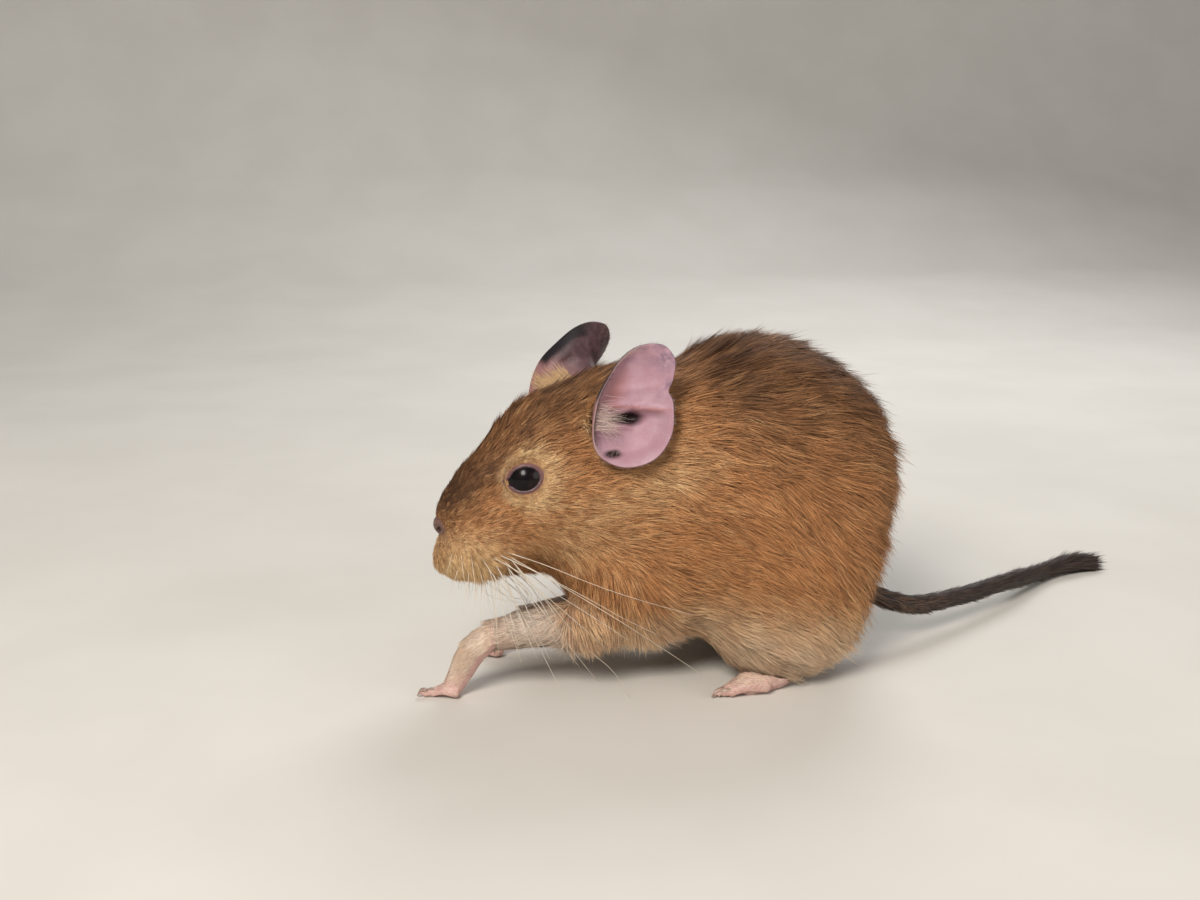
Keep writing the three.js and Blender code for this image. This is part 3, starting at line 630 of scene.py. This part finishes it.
for side, sign in SIGNS.items():
    middle, long, short, out = eye_frame(sign)
    polar = np.linspace(0.02, math.pi - 0.02, 48)[:, None]
    turn = np.linspace(0, 2 * math.pi, 64, endpoint=False)[None]
    radius = EYE_RADIUS * (1 + 0.03 * np.exp(-((polar / 0.55) ** 2)))
    ball = (
        (radius * np.cos(polar) * np.ones_like(turn))[..., None] * out
        + (radius * np.sin(polar) * np.cos(turn))[..., None] * long
        + (radius * np.sin(polar) * np.sin(turn))[..., None] * short
    ).reshape(-1, 3) + middle
    ends = np.array([middle + out * EYE_RADIUS * 1.03, middle - out * EYE_RADIUS])
    places = from_head(np.concatenate([ball, ends]))
    eye = make_piece(f"eyeball_{side}", places, closed_faces(48, 64), eye_paint, "eye")
    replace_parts(eye, f"eye_{side}")
    # The lids: a ring round the opening, thicker above, and drawn out at the corner towards the nose
    turn = np.linspace(0, 2 * math.pi, 120, endpoint=False)
    corner = np.exp(-((np.minimum(turn, 2 * math.pi - turn) / 0.26) ** 2))
    p = np.cos(turn) * LID_HALF[0] + corner * 1.7
    q = np.sin(turn) * LID_HALF[1] * (1 - 0.35 * corner)
    rise = np.sqrt(np.maximum(EYE_RADIUS**2 - p * p - q * q, 4.0))
    reach = np.hypot(p, q)
    radial = (p[:, None] * long + q[:, None] * short) / reach[:, None]
    roll = np.linspace(0, 2 * math.pi, 16, endpoint=False)
    wide = 0.88 - 0.3 * corner + 0.03 * np.sin(turn * 9)
    high = 0.36 + 0.12 * np.maximum(short[2] * np.sin(turn), 0)
    away = reach[:, None] + (0.86 + np.cos(roll)) * wide[:, None]
    sunk = 0.95 * np.maximum(np.cos(roll) + 0.4, 0)
    height = rise[:, None] + np.sin(roll) * high[:, None] - 0.1 - sunk
    ring = (middle + radial[:, None] * away[..., None] + out * height[..., None]).reshape(-1, 3)
    outer = np.tile(smooth(np.cos(roll), -0.9, 0.5), 120)
    make_piece(
        f"lids_{side}", from_head(ring), loop_faces(120, 16, True), lid_paint, "ear_skin",
        numbers={"outer": outer},
    )

# Ears
# Thin bare dishes of skin round a deep canal, pink inside with a mottled margin, and dark outside.
# A polar sheet with two faces: the blade points up and back, the round lobe lies below a fold and a notch.
EAR_EDGE = [
    [1, -7.9], [7, -7.7], [12.5, -6.6], [16.4, -3.9], [18.2, 0.4], [16.4, 4.0], [12.4, 5.4],
    [9.4, 5.6], [7.2, 7.8], [1, 10.3], [-5.5, 9.3], [-10, 4.2], [-10.2, -2], [-6.5, -5.6],
]
EAR_CURL = 1.16
EAR_STEM = [(0.46, 2.6), (0.4, 4.5), (0.36, 7.0), (0.34, 12.0)]
FOLD_WAY = (0.94, -0.35)
FOLD_AT = 2.6
SLOT_WAY = (0.44, 0.9)


def bent(a, b, c, d, f):
    """A smooth line from b to c that comes from a and goes on to d, at shares f of the way"""
    curve = 2 * b + (c - a) * f + (2 * a - 5 * b + 4 * c - d) * f**2 + (3 * b - a - 3 * c + d) * f**3
    return curve / 2


def closed_curve(spots, each):
    spots = np.array(spots, float)
    f = np.linspace(0, 1, each, endpoint=False)[:, None]
    near = (np.roll(spots, 1 - k, axis=0)[:, None] for k in range(4))
    return bent(*near, f).reshape(-1, spots.shape[1])


ear_edge = closed_curve(EAR_EDGE, 24)


def ear_rim(turn):
    """How far the ear's edge is from the canal, at angles round it"""
    turns = np.arctan2(ear_edge[:, 1], ear_edge[:, 0])
    return np.interp(turn, turns, np.hypot(*ear_edge.T), period=2 * math.pi)


def ear_frame(side):
    sign = SIGNS[side]
    out = unit(mirrored(EAR_OUT[side], sign))
    lift = math.radians(EAR_RAISE[side])
    given = np.array([math.cos(lift), 0, math.sin(lift)])
    along = unit(given - out * (given @ out))
    return mirrored(EAR_AT[side], sign), along, np.cross(along, out) * -sign, out


def ear_places(side, share, turn, drop=0.0):
    """Places on the ear's inner face, or under it by drop, and how much each is painted with the shade of
    the canal and notch and with the shade in the fold and front groove
    """
    canal, along, back, out = ear_frame(side)
    front = np.maximum(-np.sin(turn), 0)
    reach = ear_rim(turn) * lerp(share, np.sin(share * EAR_CURL * math.pi / 2), front**0.7)
    a, b = np.cos(turn) * reach, np.sin(turn) * reach
    depth = (3.4 + 2.8 * front) * share**1.8
    body = (1 - smooth(share, 0.66, 0.95)) * smooth(share, 0.08, 0.3)
    fold = a * FOLD_WAY[0] + b * FOLD_WAY[1] - FOLD_AT
    ridge = np.exp(-((fold / 0.8) ** 2)) * (1 - smooth(np.abs(b - 1.5), 4, 8))
    depth = depth + body * (0.75 * ridge - 1.1 * smooth(-fold, 0.2, 2.4))
    depth = depth + body * 0.35 * np.exp(-(((fold - 4.4 - 0.2 * b) / 1.2) ** 2))
    s1, s2 = a * SLOT_WAY[0] + b * SLOT_WAY[1], -a * SLOT_WAY[1] + b * SLOT_WAY[0]
    wide = 1.15 + 0.5 * np.exp(-(((s1 - 1.4) / 1.6) ** 2))
    slot = np.exp(-((((s1 + 0.5) / 3.6) ** 2 + ((s2 - 0.1) / wide) ** 2) ** 1.6))
    nick = np.exp(-((((s1 + 3.5) / 1.9) ** 2 + ((s2 - 8.0) / 0.85) ** 2) ** 1.5))
    depth = depth - (3.2 * slot + 0.9 * nick) * (drop == 0) - drop
    # Painted shade: darker along the groove by the front margin and on the low side of the fold's ridge,
    # where shade falls
    fold_shade = np.exp(-(((a - 4.6) / 4.5) ** 2 + ((b + 5.2) / 2.0) ** 2)) + 0.8 * ridge * (fold < 0.4)
    place = canal + a[..., None] * along + b[..., None] * back + depth[..., None] * out
    # Besides their shallow dents, the canal and the notch get painted shade: near black, as the shade deep
    # inside them
    return from_head(place), np.clip(slot * 1.5 + nick * 1.3, 0, 1), np.clip(fold_shade, 0, 1)


ear_paint, tree, shader = new_paint("ear", 0.5, 0.35)
pink = mottled(tree, 5, 0.35, 0.7, (0.37, 0.205, 0.245), (0.43, 0.27, 0.32))
pink = mottled(tree, 0.7, 0.5, 0.75, pink, (0.42, 0.19, 0.22), 0.3, 4)
# Painted shade: reddish brown in the front groove and under the fold
pink = mixed(tree, times(tree, number(tree, "fold_shade"), 0.75), pink, (0.34, 0.135, 0.125))
blotch = times(
    tree, spread(tree, noise(tree, 2.6, 2), 0.3, 0.62),
    spread(tree, noise(tree, 0.8, 4), 0.25, 0.7, 0.4, 1),
)
pink = mixed(tree, times(tree, number(tree, "margin"), blotch), pink, (0.20, 0.125, 0.175))
outer = mottled(tree, 2.2, 0.35, 0.7, (0.060, 0.028, 0.032), (0.12, 0.058, 0.066))
outer = mixed(tree, number(tree, "root"), outer, (0.28, 0.14, 0.135))
pink = mixed(tree, times(tree, number(tree, "rim"), 0.8), pink, (0.60, 0.43, 0.39))
colour = mixed(tree, number(tree, "outside"), pink, outer)
colour = mixed(tree, number(tree, "band"), colour, (0.010, 0.006, 0.008))
# Painted shade: near black in the canal and the notch
coloured(tree, shader, mixed(tree, number(tree, "canal"), colour, (0.014, 0.004, 0.005)))
shader.inputs["Subsurface Weight"].default_value = 0.06
shader.inputs["Subsurface Radius"].default_value = (0.002, 0.001, 0.0008)
bumped(tree, shader, noise(tree, 0.45, 4), 0.10)

around = 240
turn = np.linspace(0, 2 * math.pi, around, endpoint=False)
shares_in = np.concatenate([[0.01], np.linspace(0.03, 0.36, 16), np.linspace(0.38, 1.0, 34)])
for side in SIGNS:
    inner, canal_shades, fold_shades = ear_places(side, shares_in[:, None], turn[None])
    ahead = np.gradient(inner, axis=0)
    around_way = np.roll(inner, -1, axis=1) - np.roll(inner, 1, axis=1)
    facing = unit(np.cross(ahead, around_way))
    facing *= np.sign((facing @ (ear_frame(side)[3] @ HEAD_TURN.T))[20:30].mean())
    shares_out = shares_in[shares_in > 0.5][::-1]
    thick = lerp(1.3, 0.4, smooth(shares_out, 0.5, 0.9))
    outer_face = inner[shares_in > 0.5][::-1] - facing[shares_in > 0.5][::-1] * thick[:, None, None]
    edge = (inner[-1:] + outer_face[:1]) / 2 + unit(ahead[-1:]) * 0.2
    stem = [ear_places(side, np.full((1, 1), share), turn[None], drop)[0] for share, drop in EAR_STEM]
    places = np.concatenate([inner, edge, outer_face, *stem])
    shares = np.concatenate([shares_in, [1], shares_out, [share for share, _ in EAR_STEM]])[:, None]
    outside = np.concatenate([np.zeros(len(inner)), [0.5], np.ones(len(outer_face) + len(stem))])[:, None]
    front, upper = np.maximum(-np.sin(turn), 0)[None], np.cos(turn)[None]
    hidden = np.zeros((len(places) - len(inner), around))
    numbers = {
        "canal": np.concatenate([canal_shades, hidden]),
        "fold_shade": np.concatenate([fold_shades, hidden]),
        "outside": outside * np.ones(around),
        "band": outside * smooth(shares, 0.62, 0.8) * smooth(front, 0.12, 0.4) * smooth(upper, -0.05, 0.3),
        "rim": (1 - outside) * smooth(shares, 0.84, 0.96) * smooth(front, 0.1, 0.5),
        "margin": smooth(shares, 0.55, 0.95) * smooth(np.cos(turn + 0.1), 0.55, 0.9)[None],
        "root": outside * (1 - smooth(shares * upper, 0.05, 0.42)),
    }
    numbers = {key: value.ravel() for key, value in numbers.items()}
    ear = make_piece(
        f"ear_skin_{side}", places.reshape(-1, 3), loop_faces(len(places), around), ear_paint, "ear_skin",
        numbers=numbers,
    )
    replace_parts(ear, f"ear_{side}")

# Ear hair
# A pale tuft grows across the mouth of the ear from its front edge, and short fine hair edges the rim.
# They are blades like those of the coat, rooted on the ear's two faces.
TUFT_HAIRS, FRONT_HAIRS, EDGE_HAIRS = 130, 620, 2600
tuft_paint, tree, shader = new_paint("ear_hair", 0.5, 0.4)
colour = mixed(tree, number(tree, "dark"), (0.60, 0.47, 0.42), (0.03, 0.018, 0.018))
luck = number(tree, "luck")
coloured(tree, shader, mixed(tree, spread(tree, luck, 0, 1, 0, 0.5), colour, (0.30, 0.18, 0.13)))
for side in SIGNS:
    _, along, back, out = ear_frame(side)
    count = TUFT_HAIRS
    a = rng.normal(-3.4, 1.8, count)
    turn_of = np.arctan2(-7.0, a)
    roots, _, _ = ear_places(side, rng.uniform(0.62, 0.95, count), turn_of)
    fan = rng.normal(0, 0.22, count)[:, None]
    ways = unit(along * (0.28 + fan) + back * 0.95 + out * rng.normal(0.12, 0.1, count)[:, None])
    normals = np.tile(out @ HEAD_TURN.T, (count, 1))
    size = rng.uniform(3.0, 8.0, count)
    tuft = {"dark": np.zeros(count), "luck": rng.random(count)}
    blades(
        f"ear_tuft_{side}", roots, normals, ways @ HEAD_TURN.T, size, np.full(count, 0.065),
        rng.uniform(0.0, 0.3, count), rng.normal(0, 0.7, (count, 3)), rng, "ear_skin", tuft_paint, tuft,
    )
    # Pale coat stands up against the foot of the ear's front
    count = FRONT_HAIRS
    a = rng.uniform(-9.0, 4.0, count)
    margin, _, _ = ear_places(side, np.full(count, 0.94), np.arctan2(-7.6, a))
    ahead, deep = -back @ HEAD_TURN.T, out @ HEAD_TURN.T
    seeds = margin + ahead * rng.uniform(0.2, 3.4, count)[:, None] - deep * 7
    roots = np.array([skin_at(seed)[0] for seed in seeds])
    ways = margin + ahead * rng.uniform(0.0, 1.5, count)[:, None] - roots + rng.normal(0, 0.6, (count, 3))
    size = np.linalg.norm(ways, axis=1) * rng.uniform(0.45, 1.02, count)
    size = size * lerp(1.0, 0.6, smooth(a, -3, 3)) * lerp(0.4, 1.0, smooth(a, -9, -5))
    normals = np.tile(unit(ahead + deep * 0.6), (count, 1))
    stand = {
        "pale": rng.uniform(0.65, 1, count), "dark": np.zeros(count),
        "white": rng.uniform(0, 0.25, count), "luck": rng.uniform(0.3, 1, count),
    }
    blades(
        f"ear_front_{side}", roots, normals, unit(ways), size, np.full(count, 0.11),
        rng.uniform(0.0, 0.2, count), rng.normal(0, 0.5, (count, 3)), rng, "coat", coat_paint, stand,
    )
    count = EDGE_HAIRS
    turn_of = rng.uniform(0, 2 * math.pi, count)
    share = 1 - rng.random(count) ** 1.6 * 0.5
    roots, _, _ = ear_places(side, share, turn_of, 0.45)
    ahead, _, _ = ear_places(side, share + 0.04, turn_of, 0.45)
    normals = np.tile(-out @ HEAD_TURN.T, (count, 1))
    ways = unit(unit(ahead - roots) + np.array([0.25, 0, 0.35]) + rng.normal(0, 0.15, (count, 3)))
    ways = unit(ways - normals * dot(ways, normals) * 0.8)
    front = np.maximum(-np.sin(turn_of), 0)
    edge = {"dark": np.clip(0.55 + front, 0, 1), "luck": rng.random(count)}
    blades(
        f"ear_edge_{side}", roots, normals, ways, rng.uniform(0.6, 1.3, count), np.full(count, 0.05),
        np.full(count, 0.2), np.zeros((count, 3)), rng, "ear_skin", tuft_paint, edge, steps=2,
    )

# Nose and mouth
# A small bare pad with two comma-shaped nostrils, a cleft below it, and the line between the lips.
# The pad is a dented ball half sunk in the muzzle, and the lips are thin soft cords along the mouth.
nose_paint, tree, shader = new_paint("nose", 0.42, 0.5)
bare = mottled(tree, 0.7, 0.35, 0.65, (0.10, 0.048, 0.037), (0.18, 0.09, 0.07))
# Painted shade: the nostrils and the cleft are painted near black, as the shade inside them
coloured(tree, shader, mixed(tree, number(tree, "canal"), bare, (0.02, 0.008, 0.008)))
bumped(tree, shader, noise(tree, 0.3), 0.3)
polar, turn = np.linspace(0.03, math.pi - 0.03, 60), np.linspace(0, 2 * math.pi, 80, endpoint=False)
polar, turn = np.meshgrid(polar, turn, indexing="ij")
ball = [-np.cos(polar), np.sin(polar) * np.cos(turn), np.sin(polar) * np.sin(turn)]
ball = np.stack(ball, -1).reshape(-1, 3)
dent = np.zeros(len(ball))
for sign in (-1, 1):
    gap = (ball - [-0.72, 0.55 * sign, 0.1]) / [0.6, 0.26, 0.24]
    gap[:, 2] -= 0.5 * (ball[:, 1] * sign - 0.55) / 0.3
    dent = np.maximum(dent, np.exp(-((gap**2).sum(1) ** 1.5)))
cleft = np.exp(-((ball[:, 1] / 0.09) ** 2)) * (ball[:, 2] < 0.1) * 0.35
pad = np.array([-43.5, 0, 3.8]) + ball * (1 - 0.34 * dent - 0.2 * cleft)[:, None] * [2.6, 3.1, 2.7]
faces = loop_faces(60, 80)
make_piece(
    "nose_pad", from_head(pad), faces, nose_paint, "ear_skin",
    # The canal value here marks the painted shade of the nostril dents and the cleft
    numbers={"canal": np.clip(dent * 1.3 + cleft, 0, 1)},
)


def tubes(lines, girths, sides=6):
    """Round cords along lines of equal count of points, with a girth at each point and closed ends"""
    places, faces, offset = [], [], 0
    roll = np.linspace(0, 2 * math.pi, sides, endpoint=False)
    for line, girth in zip(lines, girths):
        line = np.asarray(line, float)
        ahead = unit(np.gradient(line, axis=0))
        across = unit(np.cross(ahead, [0.13, 0.31, 0.94]))
        up = np.cross(ahead, across)
        spokes = across[:, None] * np.cos(roll)[None, :, None] + up[:, None] * np.sin(roll)[None, :, None]
        ring = line[:, None] + spokes * np.asarray(girth)[:, None, None]
        ends = [line[:1] - ahead[:1] * girth[0] * 0.5, line[-1:] + ahead[-1:] * girth[-1] * 0.5]
        places += [ring.reshape(-1, 3), *ends]
        faces.append(closed_faces(len(line), sides) + offset)
        offset += len(line) * sides + 2
    return np.concatenate(places), np.concatenate(faces)


def curve_through(spots, count):
    """A smooth line through spots, whatever they hold, with its points evenly shared between them"""
    spots = np.asarray(spots, float)
    ends = np.concatenate([[2 * spots[0] - spots[1]], spots, [2 * spots[-1] - spots[-2]]])
    t = np.linspace(0, len(spots) - 1, count)
    i = np.minimum(t.astype(int), len(spots) - 2)
    return bent(*(ends[i + k] for k in range(4)), (t - i)[:, None])


MUZZLE_MIDDLE = np.array([-34.0, 0, -5.0])
MOUTH_WAYS = [
    [-0.78, 0.0, -0.66], [-0.66, 0.25, -0.82], [-0.5, 0.42, -0.86], [-0.2, 0.68, -0.85],
    [0.12, 0.85, -0.8],
]
lip_lines = []
for sign in (-1, 1):
    spots = []
    for way in MOUTH_WAYS:
        direction = unit(mirrored(way, sign)) @ HEAD_TURN.T
        hit = skin_tree.ray_cast(Vector(from_head(MUZZLE_MIDDLE)), Vector(direction), 40)[0]
        spots.append(np.array(hit) if hit is not None else from_head(MUZZLE_MIDDLE) + direction * 10)
    lip_lines.append(curve_through(spots, 30))
girth = 0.42 * np.sin(np.linspace(0.5, math.pi - 0.25, 30)) + 0.1
make_piece("lips", *tubes(lip_lines, [girth, girth], 8), lid_paint, "ear_skin")

# Feet
# Bare pink soles and toes, five to a forepaw with a tiny thumb and four behind, with pale horn claws.
# The CAD feet are smoothed over a fine grid, and each claw is a curved spike on the last joint of its toe.
foot_paint, tree, shader = new_paint("foot", 0.48, 0.45)
flesh = mottled(tree, 3, 0.35, 0.7, (0.50, 0.30, 0.26), (0.60, 0.39, 0.345))
coloured(tree, shader, mottled(tree, 0.8, 0.45, 0.75, flesh, (0.42, 0.19, 0.165), 0.5))
shader.inputs["Subsurface Weight"].default_value = 0.1
shader.inputs["Subsurface Radius"].default_value = (0.002, 0.0008, 0.0006)
bumped(tree, shader, noise(tree, 0.5, 4), 0.16)
claw_paint, tree, shader = new_paint("claw", 0.3, 0.5)
coloured(tree, shader, mottled(tree, 1.2, 0.3, 0.7, (0.42, 0.30, 0.24), (0.22, 0.14, 0.11)))

FOOT_GRID = 0.3
TOE_LENGTH, FOREPAW_LENGTH = 9.9, 13
FOOT_NODES = ["hind_foot_left", "hind_foot_right", "forepaw_left", "forepaw_right"]
HIND_TOES_AT, HEEL_AT = (7.5, 23.6), (27, 18.5)
HANDS = {"left": (-63.3, -13.8), "right": (-51.0, 11.0)}


def claw_lines(root, heading, spreads, lengths, pitch, claw):
    """The lines of the claws of toes that fan out from a root, each over the end of its toe"""
    lines = []
    h = math.radians(heading)
    across = np.array([math.sin(h), -math.cos(h), 0])
    for i, (aside, long) in enumerate(zip(spreads, lengths)):
        angle = math.radians(heading + aside)
        way = np.array([-math.cos(angle), -math.sin(angle), 0])
        start = np.array([*root, 0]) - across * (i - (len(spreads) - 1) / 2) * pitch
        spots = [(-0.75, 1.5), (-0.3, 1.85), (0.15, 1.6), (0.5, 0.5)]
        lines.append(curve_through([start + way * (long + claw * k) + [0, 0, z] for k, z in spots], 9))
    return lines


def behind_wrist(side, places):
    """How far places are behind the wrist, along the end of the foreleg"""
    before, wrist = np.array(ARMS[side])[-2:, :3]
    return (wrist - places) @ unit(wrist - before)


foot_parts = {}
for node in FOOT_NODES:
    side = node.split("_")[-1]
    if node.startswith("hind"):
        foot_parts[node] = node_mesh(node, [node], FOOT_GRID, 4)
        continue
    # A forepaw runs on up inside the skin of its foreleg
    places, normals, faces = node_mesh(node, [node, f"foreleg_{side}"], FOOT_GRID, 6, 0.16)
    behind = behind_wrist(side, places)
    places = places - normals * (0.2 + 1.5 * smooth(behind, -2.5, 5.5))[:, None]
    foot_parts[node] = places, normals, faces[behind[faces].max(1) < 7]
for node, (places, normals, faces) in foot_parts.items():
    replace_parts(make_piece(f"skin_{node}", places, faces, foot_paint, "paw_skin"), node)
lines, girths = [], []
for side, sign in SIGNS.items():
    back, aside = np.subtract(HEEL_AT, HIND_TOES_AT)
    heading = sign * math.degrees(math.atan2(aside, back))
    toes = (HIND_TOES_AT[0], sign * HIND_TOES_AT[1])
    long = [TOE_LENGTH * k for k in (0.88, 1, 1.02, 0.86)]
    hind = claw_lines(toes, heading, [-sign * k for k in (-12, -4, 5, 13)], long, -1.75 * sign, 3)
    x, y = HANDS[side]
    long = [FOREPAW_LENGTH * k for k in (0.42, 0.54, 0.55, 0.44)]
    fore = claw_lines((x - 0.6, y), 0, (-24, -8, 8, 24), long, 1.45, 1.7)
    fore += claw_lines((x + 0.8, y - sign * 1.6), 0, (-sign * 58,), (FOREPAW_LENGTH * 0.24,), 1.45, 1.7)
    lines += hind + fore
    taper = np.linspace(1, 0.12, 9) ** 0.8
    girths += [0.82 * taper] * len(hind) + [0.66 * taper] * len(fore)
make_piece("claws", *tubes(lines, girths, 10), claw_paint, "paw_skin")

# Foot hair
# Very short pale hair on the backs of the feet and round the wrists and heels.
# Small blades on the upper side of each foot, pointing to the toes.
for node, (places, normals, faces) in foot_parts.items():
    fore = node.startswith("forepaw")
    if fore:
        faces = faces[behind_wrist(node.split("_")[-1], places)[faces].max(1) < 1.5]
    up = face_ways(places, faces)[:, 2]
    height = places[faces].mean(1)[:, 2]
    thick = smooth(height, 2.0, 8) if fore else smooth(height, 1.5, 5)
    dense = np.where(up > -0.3, 14 * thick + 3, 0)
    _, roots, out = scattered(places, normals, faces, dense, rng)
    ways = unit(np.array([-1.0, 0, -0.5 if fore else -0.25]) + rng.normal(0, 0.12, roots.shape))
    ways = laid(ways, out)
    count = len(roots)
    tint = {
        "pale": np.ones(count), "dark": np.zeros(count), "luck": rng.uniform(0.4, 1, count),
        "white": rng.uniform(0.7, 1, count),
    }
    size = lerp(0.7, 2.8, smooth(roots[:, 2], 2, 12)) * rng.uniform(0.8, 1.1, count)
    blades(
        f"hair_{node}", roots, out, ways, size, np.full(count, 0.09), np.full(count, 0.24),
        np.zeros((count, 3)), rng, "paw_skin", coat_paint, tint, steps=2,
    )

# Tail
# A slender tail with bristly black-brown hair that grows longer towards its end, where it forms a brush.
# The core is a thin tapered cord along the CAD tail's own line, and the bristles lie along it.
TAIL = [
    [34, -0.6, 20], [53.5, 1.2, 11], [71.5, 11, 8], [92, 25, 6.3], [104, 35, 4.4],
    [114, 43, 3.1], [123, 48, 2.9], [130, 50.4, 2.2],
]
TAIL_GIRTH = (2.3, 1.0)
TAIL_BRISTLES = 15000
tail_paint, tree, shader = new_paint("tail", 0.6, 0.35)
coloured(tree, shader, mottled(tree, 1.5, 0.3, 0.7, (0.030, 0.018, 0.015), (0.055, 0.034, 0.027)))
bumped(tree, shader, noise(tree, 0.5), 0.3)
bristle_paint, tree, shader = new_paint("bristles", 0.5, 0.4)
luck = number(tree, "luck")
bristle = mixed(tree, spread(tree, luck, 0, 1), (0.018, 0.011, 0.010), (0.075, 0.045, 0.033))
brown = times(tree, number(tree, "pale"), spread(tree, luck, 0.3, 0.9))
coloured(tree, shader, mixed(tree, brown, bristle, (0.30, 0.17, 0.09)))

line = curve_through(TAIL, 160)
share = np.linspace(0, 1, 160)
core = lerp(*TAIL_GIRTH, share)
line[:, 2] = np.maximum(line[:, 2], core + 0.7)
tail_core = make_piece("tail_core", *tubes([line], [core], 20), tail_paint, "tail_coat")
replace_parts(tail_core, "tail_root", "tail_middle", "tail_brush")
count = TAIL_BRISTLES
t = np.sort(rng.random(count) ** 0.8 * 0.94 + 0.02)
at = np.stack([np.interp(t, share, line[:, i]) for i in range(3)], 1)
ahead = unit(np.stack([np.interp(t, share, np.gradient(line[:, i])) for i in range(3)], 1))
across = unit(np.cross(ahead, [0, 0, 1.0]))
up = np.cross(across, ahead)
roll = rng.uniform(0, 2 * math.pi, count)[:, None]
out = across * np.cos(roll) + up * np.sin(roll)
roots = at + out * (lerp(*TAIL_GIRTH, t) - 0.15)[:, None]
size = lerp(4.0, 6.5, smooth(t, 0.1, 0.6))
size = lerp(size, 11.5, smooth(t, 0.62, 0.86)) * rng.uniform(0.55, 1.1, count)
size = np.minimum(size, (1 - t) * 105 + 5 * rng.random(count) + 2)
ways = laid(unit(ahead + rng.normal(0, 0.06, (count, 3))), out)
shifts, _, _ = gathered(roots, ways, size, rng, 14, 0.35, 0.04)
tint = {"pale": 0.5 * (1 - smooth(t, 0.05, 0.3)), "dark": np.ones(count), "luck": rng.random(count)}
lifts = np.clip(rng.normal(0.23, 0.09, count), 0.04, 0.5)
charts = np.stack([0.02 + 0.96 * t, 0.02 + 0.96 * roll[:, 0] / (2 * math.pi)], 1)
blades(
    "tail_bristles", roots, out, ways, size, np.full(count, 0.19), lifts, shifts, rng, "tail_coat",
    bristle_paint, tint, charts,
)

# Whiskers
# Long pale stiff hairs in rows on the pads beside the nose, longest at the back.
# Thin tapered cords that bow a little under their own weight.
WHISKER_ROWS, WHISKER_COLUMNS = 5, 7
WHISKER_EDGE = -32.5
whisker_paint, tree, shader = new_paint("whisker", 0.35, 0.5)
coloured(tree, shader, mottled(tree, 8, 0.4, 0.6, (0.62, 0.52, 0.40), (0.72, 0.65, 0.55)))


def cleared(line):
    """The line, eased out of the body wherever it comes too near to the skin"""
    along_line = np.linalg.norm(line - line[0], axis=1)
    for i, reach in enumerate(along_line):
        found, normal = skin_at(line[i])
        line[i] += normal * max(min(0.3 * reach, 3.0) - (line[i] - found) @ normal, 0)
    for _ in range(8):
        line[1:-1] = (line[:-2] + 2 * line[1:-1] + line[2:]) / 4
    line[:, 1] = np.maximum(line[:, 1], WHISKER_EDGE)
    line[:, 2] = np.maximum(line[:, 2], 0.4)
    return line


lines, girths = [], []
t = np.linspace(0, 1, 16)[:, None]
for sign in SIGNS.values():
    for row in range(WHISKER_ROWS):
        for column in range(WHISKER_COLUMNS):
            c, r = column / (WHISKER_COLUMNS - 1), row / (WHISKER_ROWS - 1)
            place = [lerp(-45, -36, c), sign * lerp(5, 12, c), lerp(lerp(-2, -6.5, c), -13.5, r)]
            root, _ = skin_at(from_head(place))
            long = lerp(8, lerp(56, 30, r), c**1.5) * rng.uniform(0.75, 1.05)
            back = lerp(-0.3, lerp(0.96, 0.45, r**0.6), c)
            fall = lerp(0.75, lerp(0.16, 0.88, r**0.6), c)
            way = unit(np.array([back, sign * lerp(0.5, 0.22, c), -fall]) + rng.normal(0, 0.08, 3))
            bow = np.array([0.3, 0, -1.0]) * rng.uniform(0.03, 0.12)
            line = root + way * long * t + bow * long * t * t
            lines.append(cleared(line) if c > 0.4 else line)
            girths.append(lerp(0.11, 0.03, t[:, 0]) * lerp(0.7, 1.0, c))
make_piece("whiskers", *tubes(lines, girths, 4), whisker_paint, "face_coat")

# Floor and light
# A plain pale floor that curves up into a backdrop, and soft studio lamps.
# Neither is part of the animal.
floor_paint, tree, shader = new_paint("floor", 0.85, 0.2)
coloured(tree, shader, mottled(tree, 60, 0.3, 0.7, (0.60, 0.57, 0.52), (0.63, 0.60, 0.55)))
profile = [(-5.0, 0.0), (0.5, 0.0), (0.7, 0.02), (0.86, 0.09), (0.96, 0.22), (1.0, 0.4), (1.0, 1.8)]
sweep = bpy.data.meshes.new("floor")
corners = [(x, y, z) for x in (-5.0, 5.0) for y, z in profile]
sweep.from_pydata(corners, [], [(i, i + 7, i + 8, i + 1) for i in range(6)])
sweep.materials.append(floor_paint)
for face in sweep.polygons:
    face.use_smooth = True
floor_object = bpy.data.objects.new("floor", sweep)
scene.collection.objects.link(floor_object)

world = bpy.data.worlds.new("room")
world.use_nodes = True
world.node_tree.nodes["Background"].inputs[0].default_value = (0.92, 0.95, 1.0, 1)
world.node_tree.nodes["Background"].inputs[1].default_value = 0.30
scene.world = world
LAMPS = {
    "key": ((-0.42, -0.62, 0.62), 0.36, 8.2, (1.0, 0.95, 0.88)),
    "fill": ((0.55, -0.55, 0.30), 0.5, 1.6, (1.0, 0.96, 0.92)),
    "rim": ((0.25, 0.50, 0.55), 0.4, 3.2, (0.95, 0.97, 1.0)),
}
for name, (at, size, power, colour) in LAMPS.items():
    lamp = bpy.data.lights.new(name, "AREA")
    lamp.shape = "DISK"
    lamp.size = size
    lamp.energy = power
    lamp.color = colour
    holder = bpy.data.objects.new(name, lamp)
    holder.location = at
    holder.rotation_euler = (Vector((-0.03, 0, 0.04)) - Vector(at)).to_track_quat("-Z", "Y").to_euler()
    scene.collection.objects.link(holder)
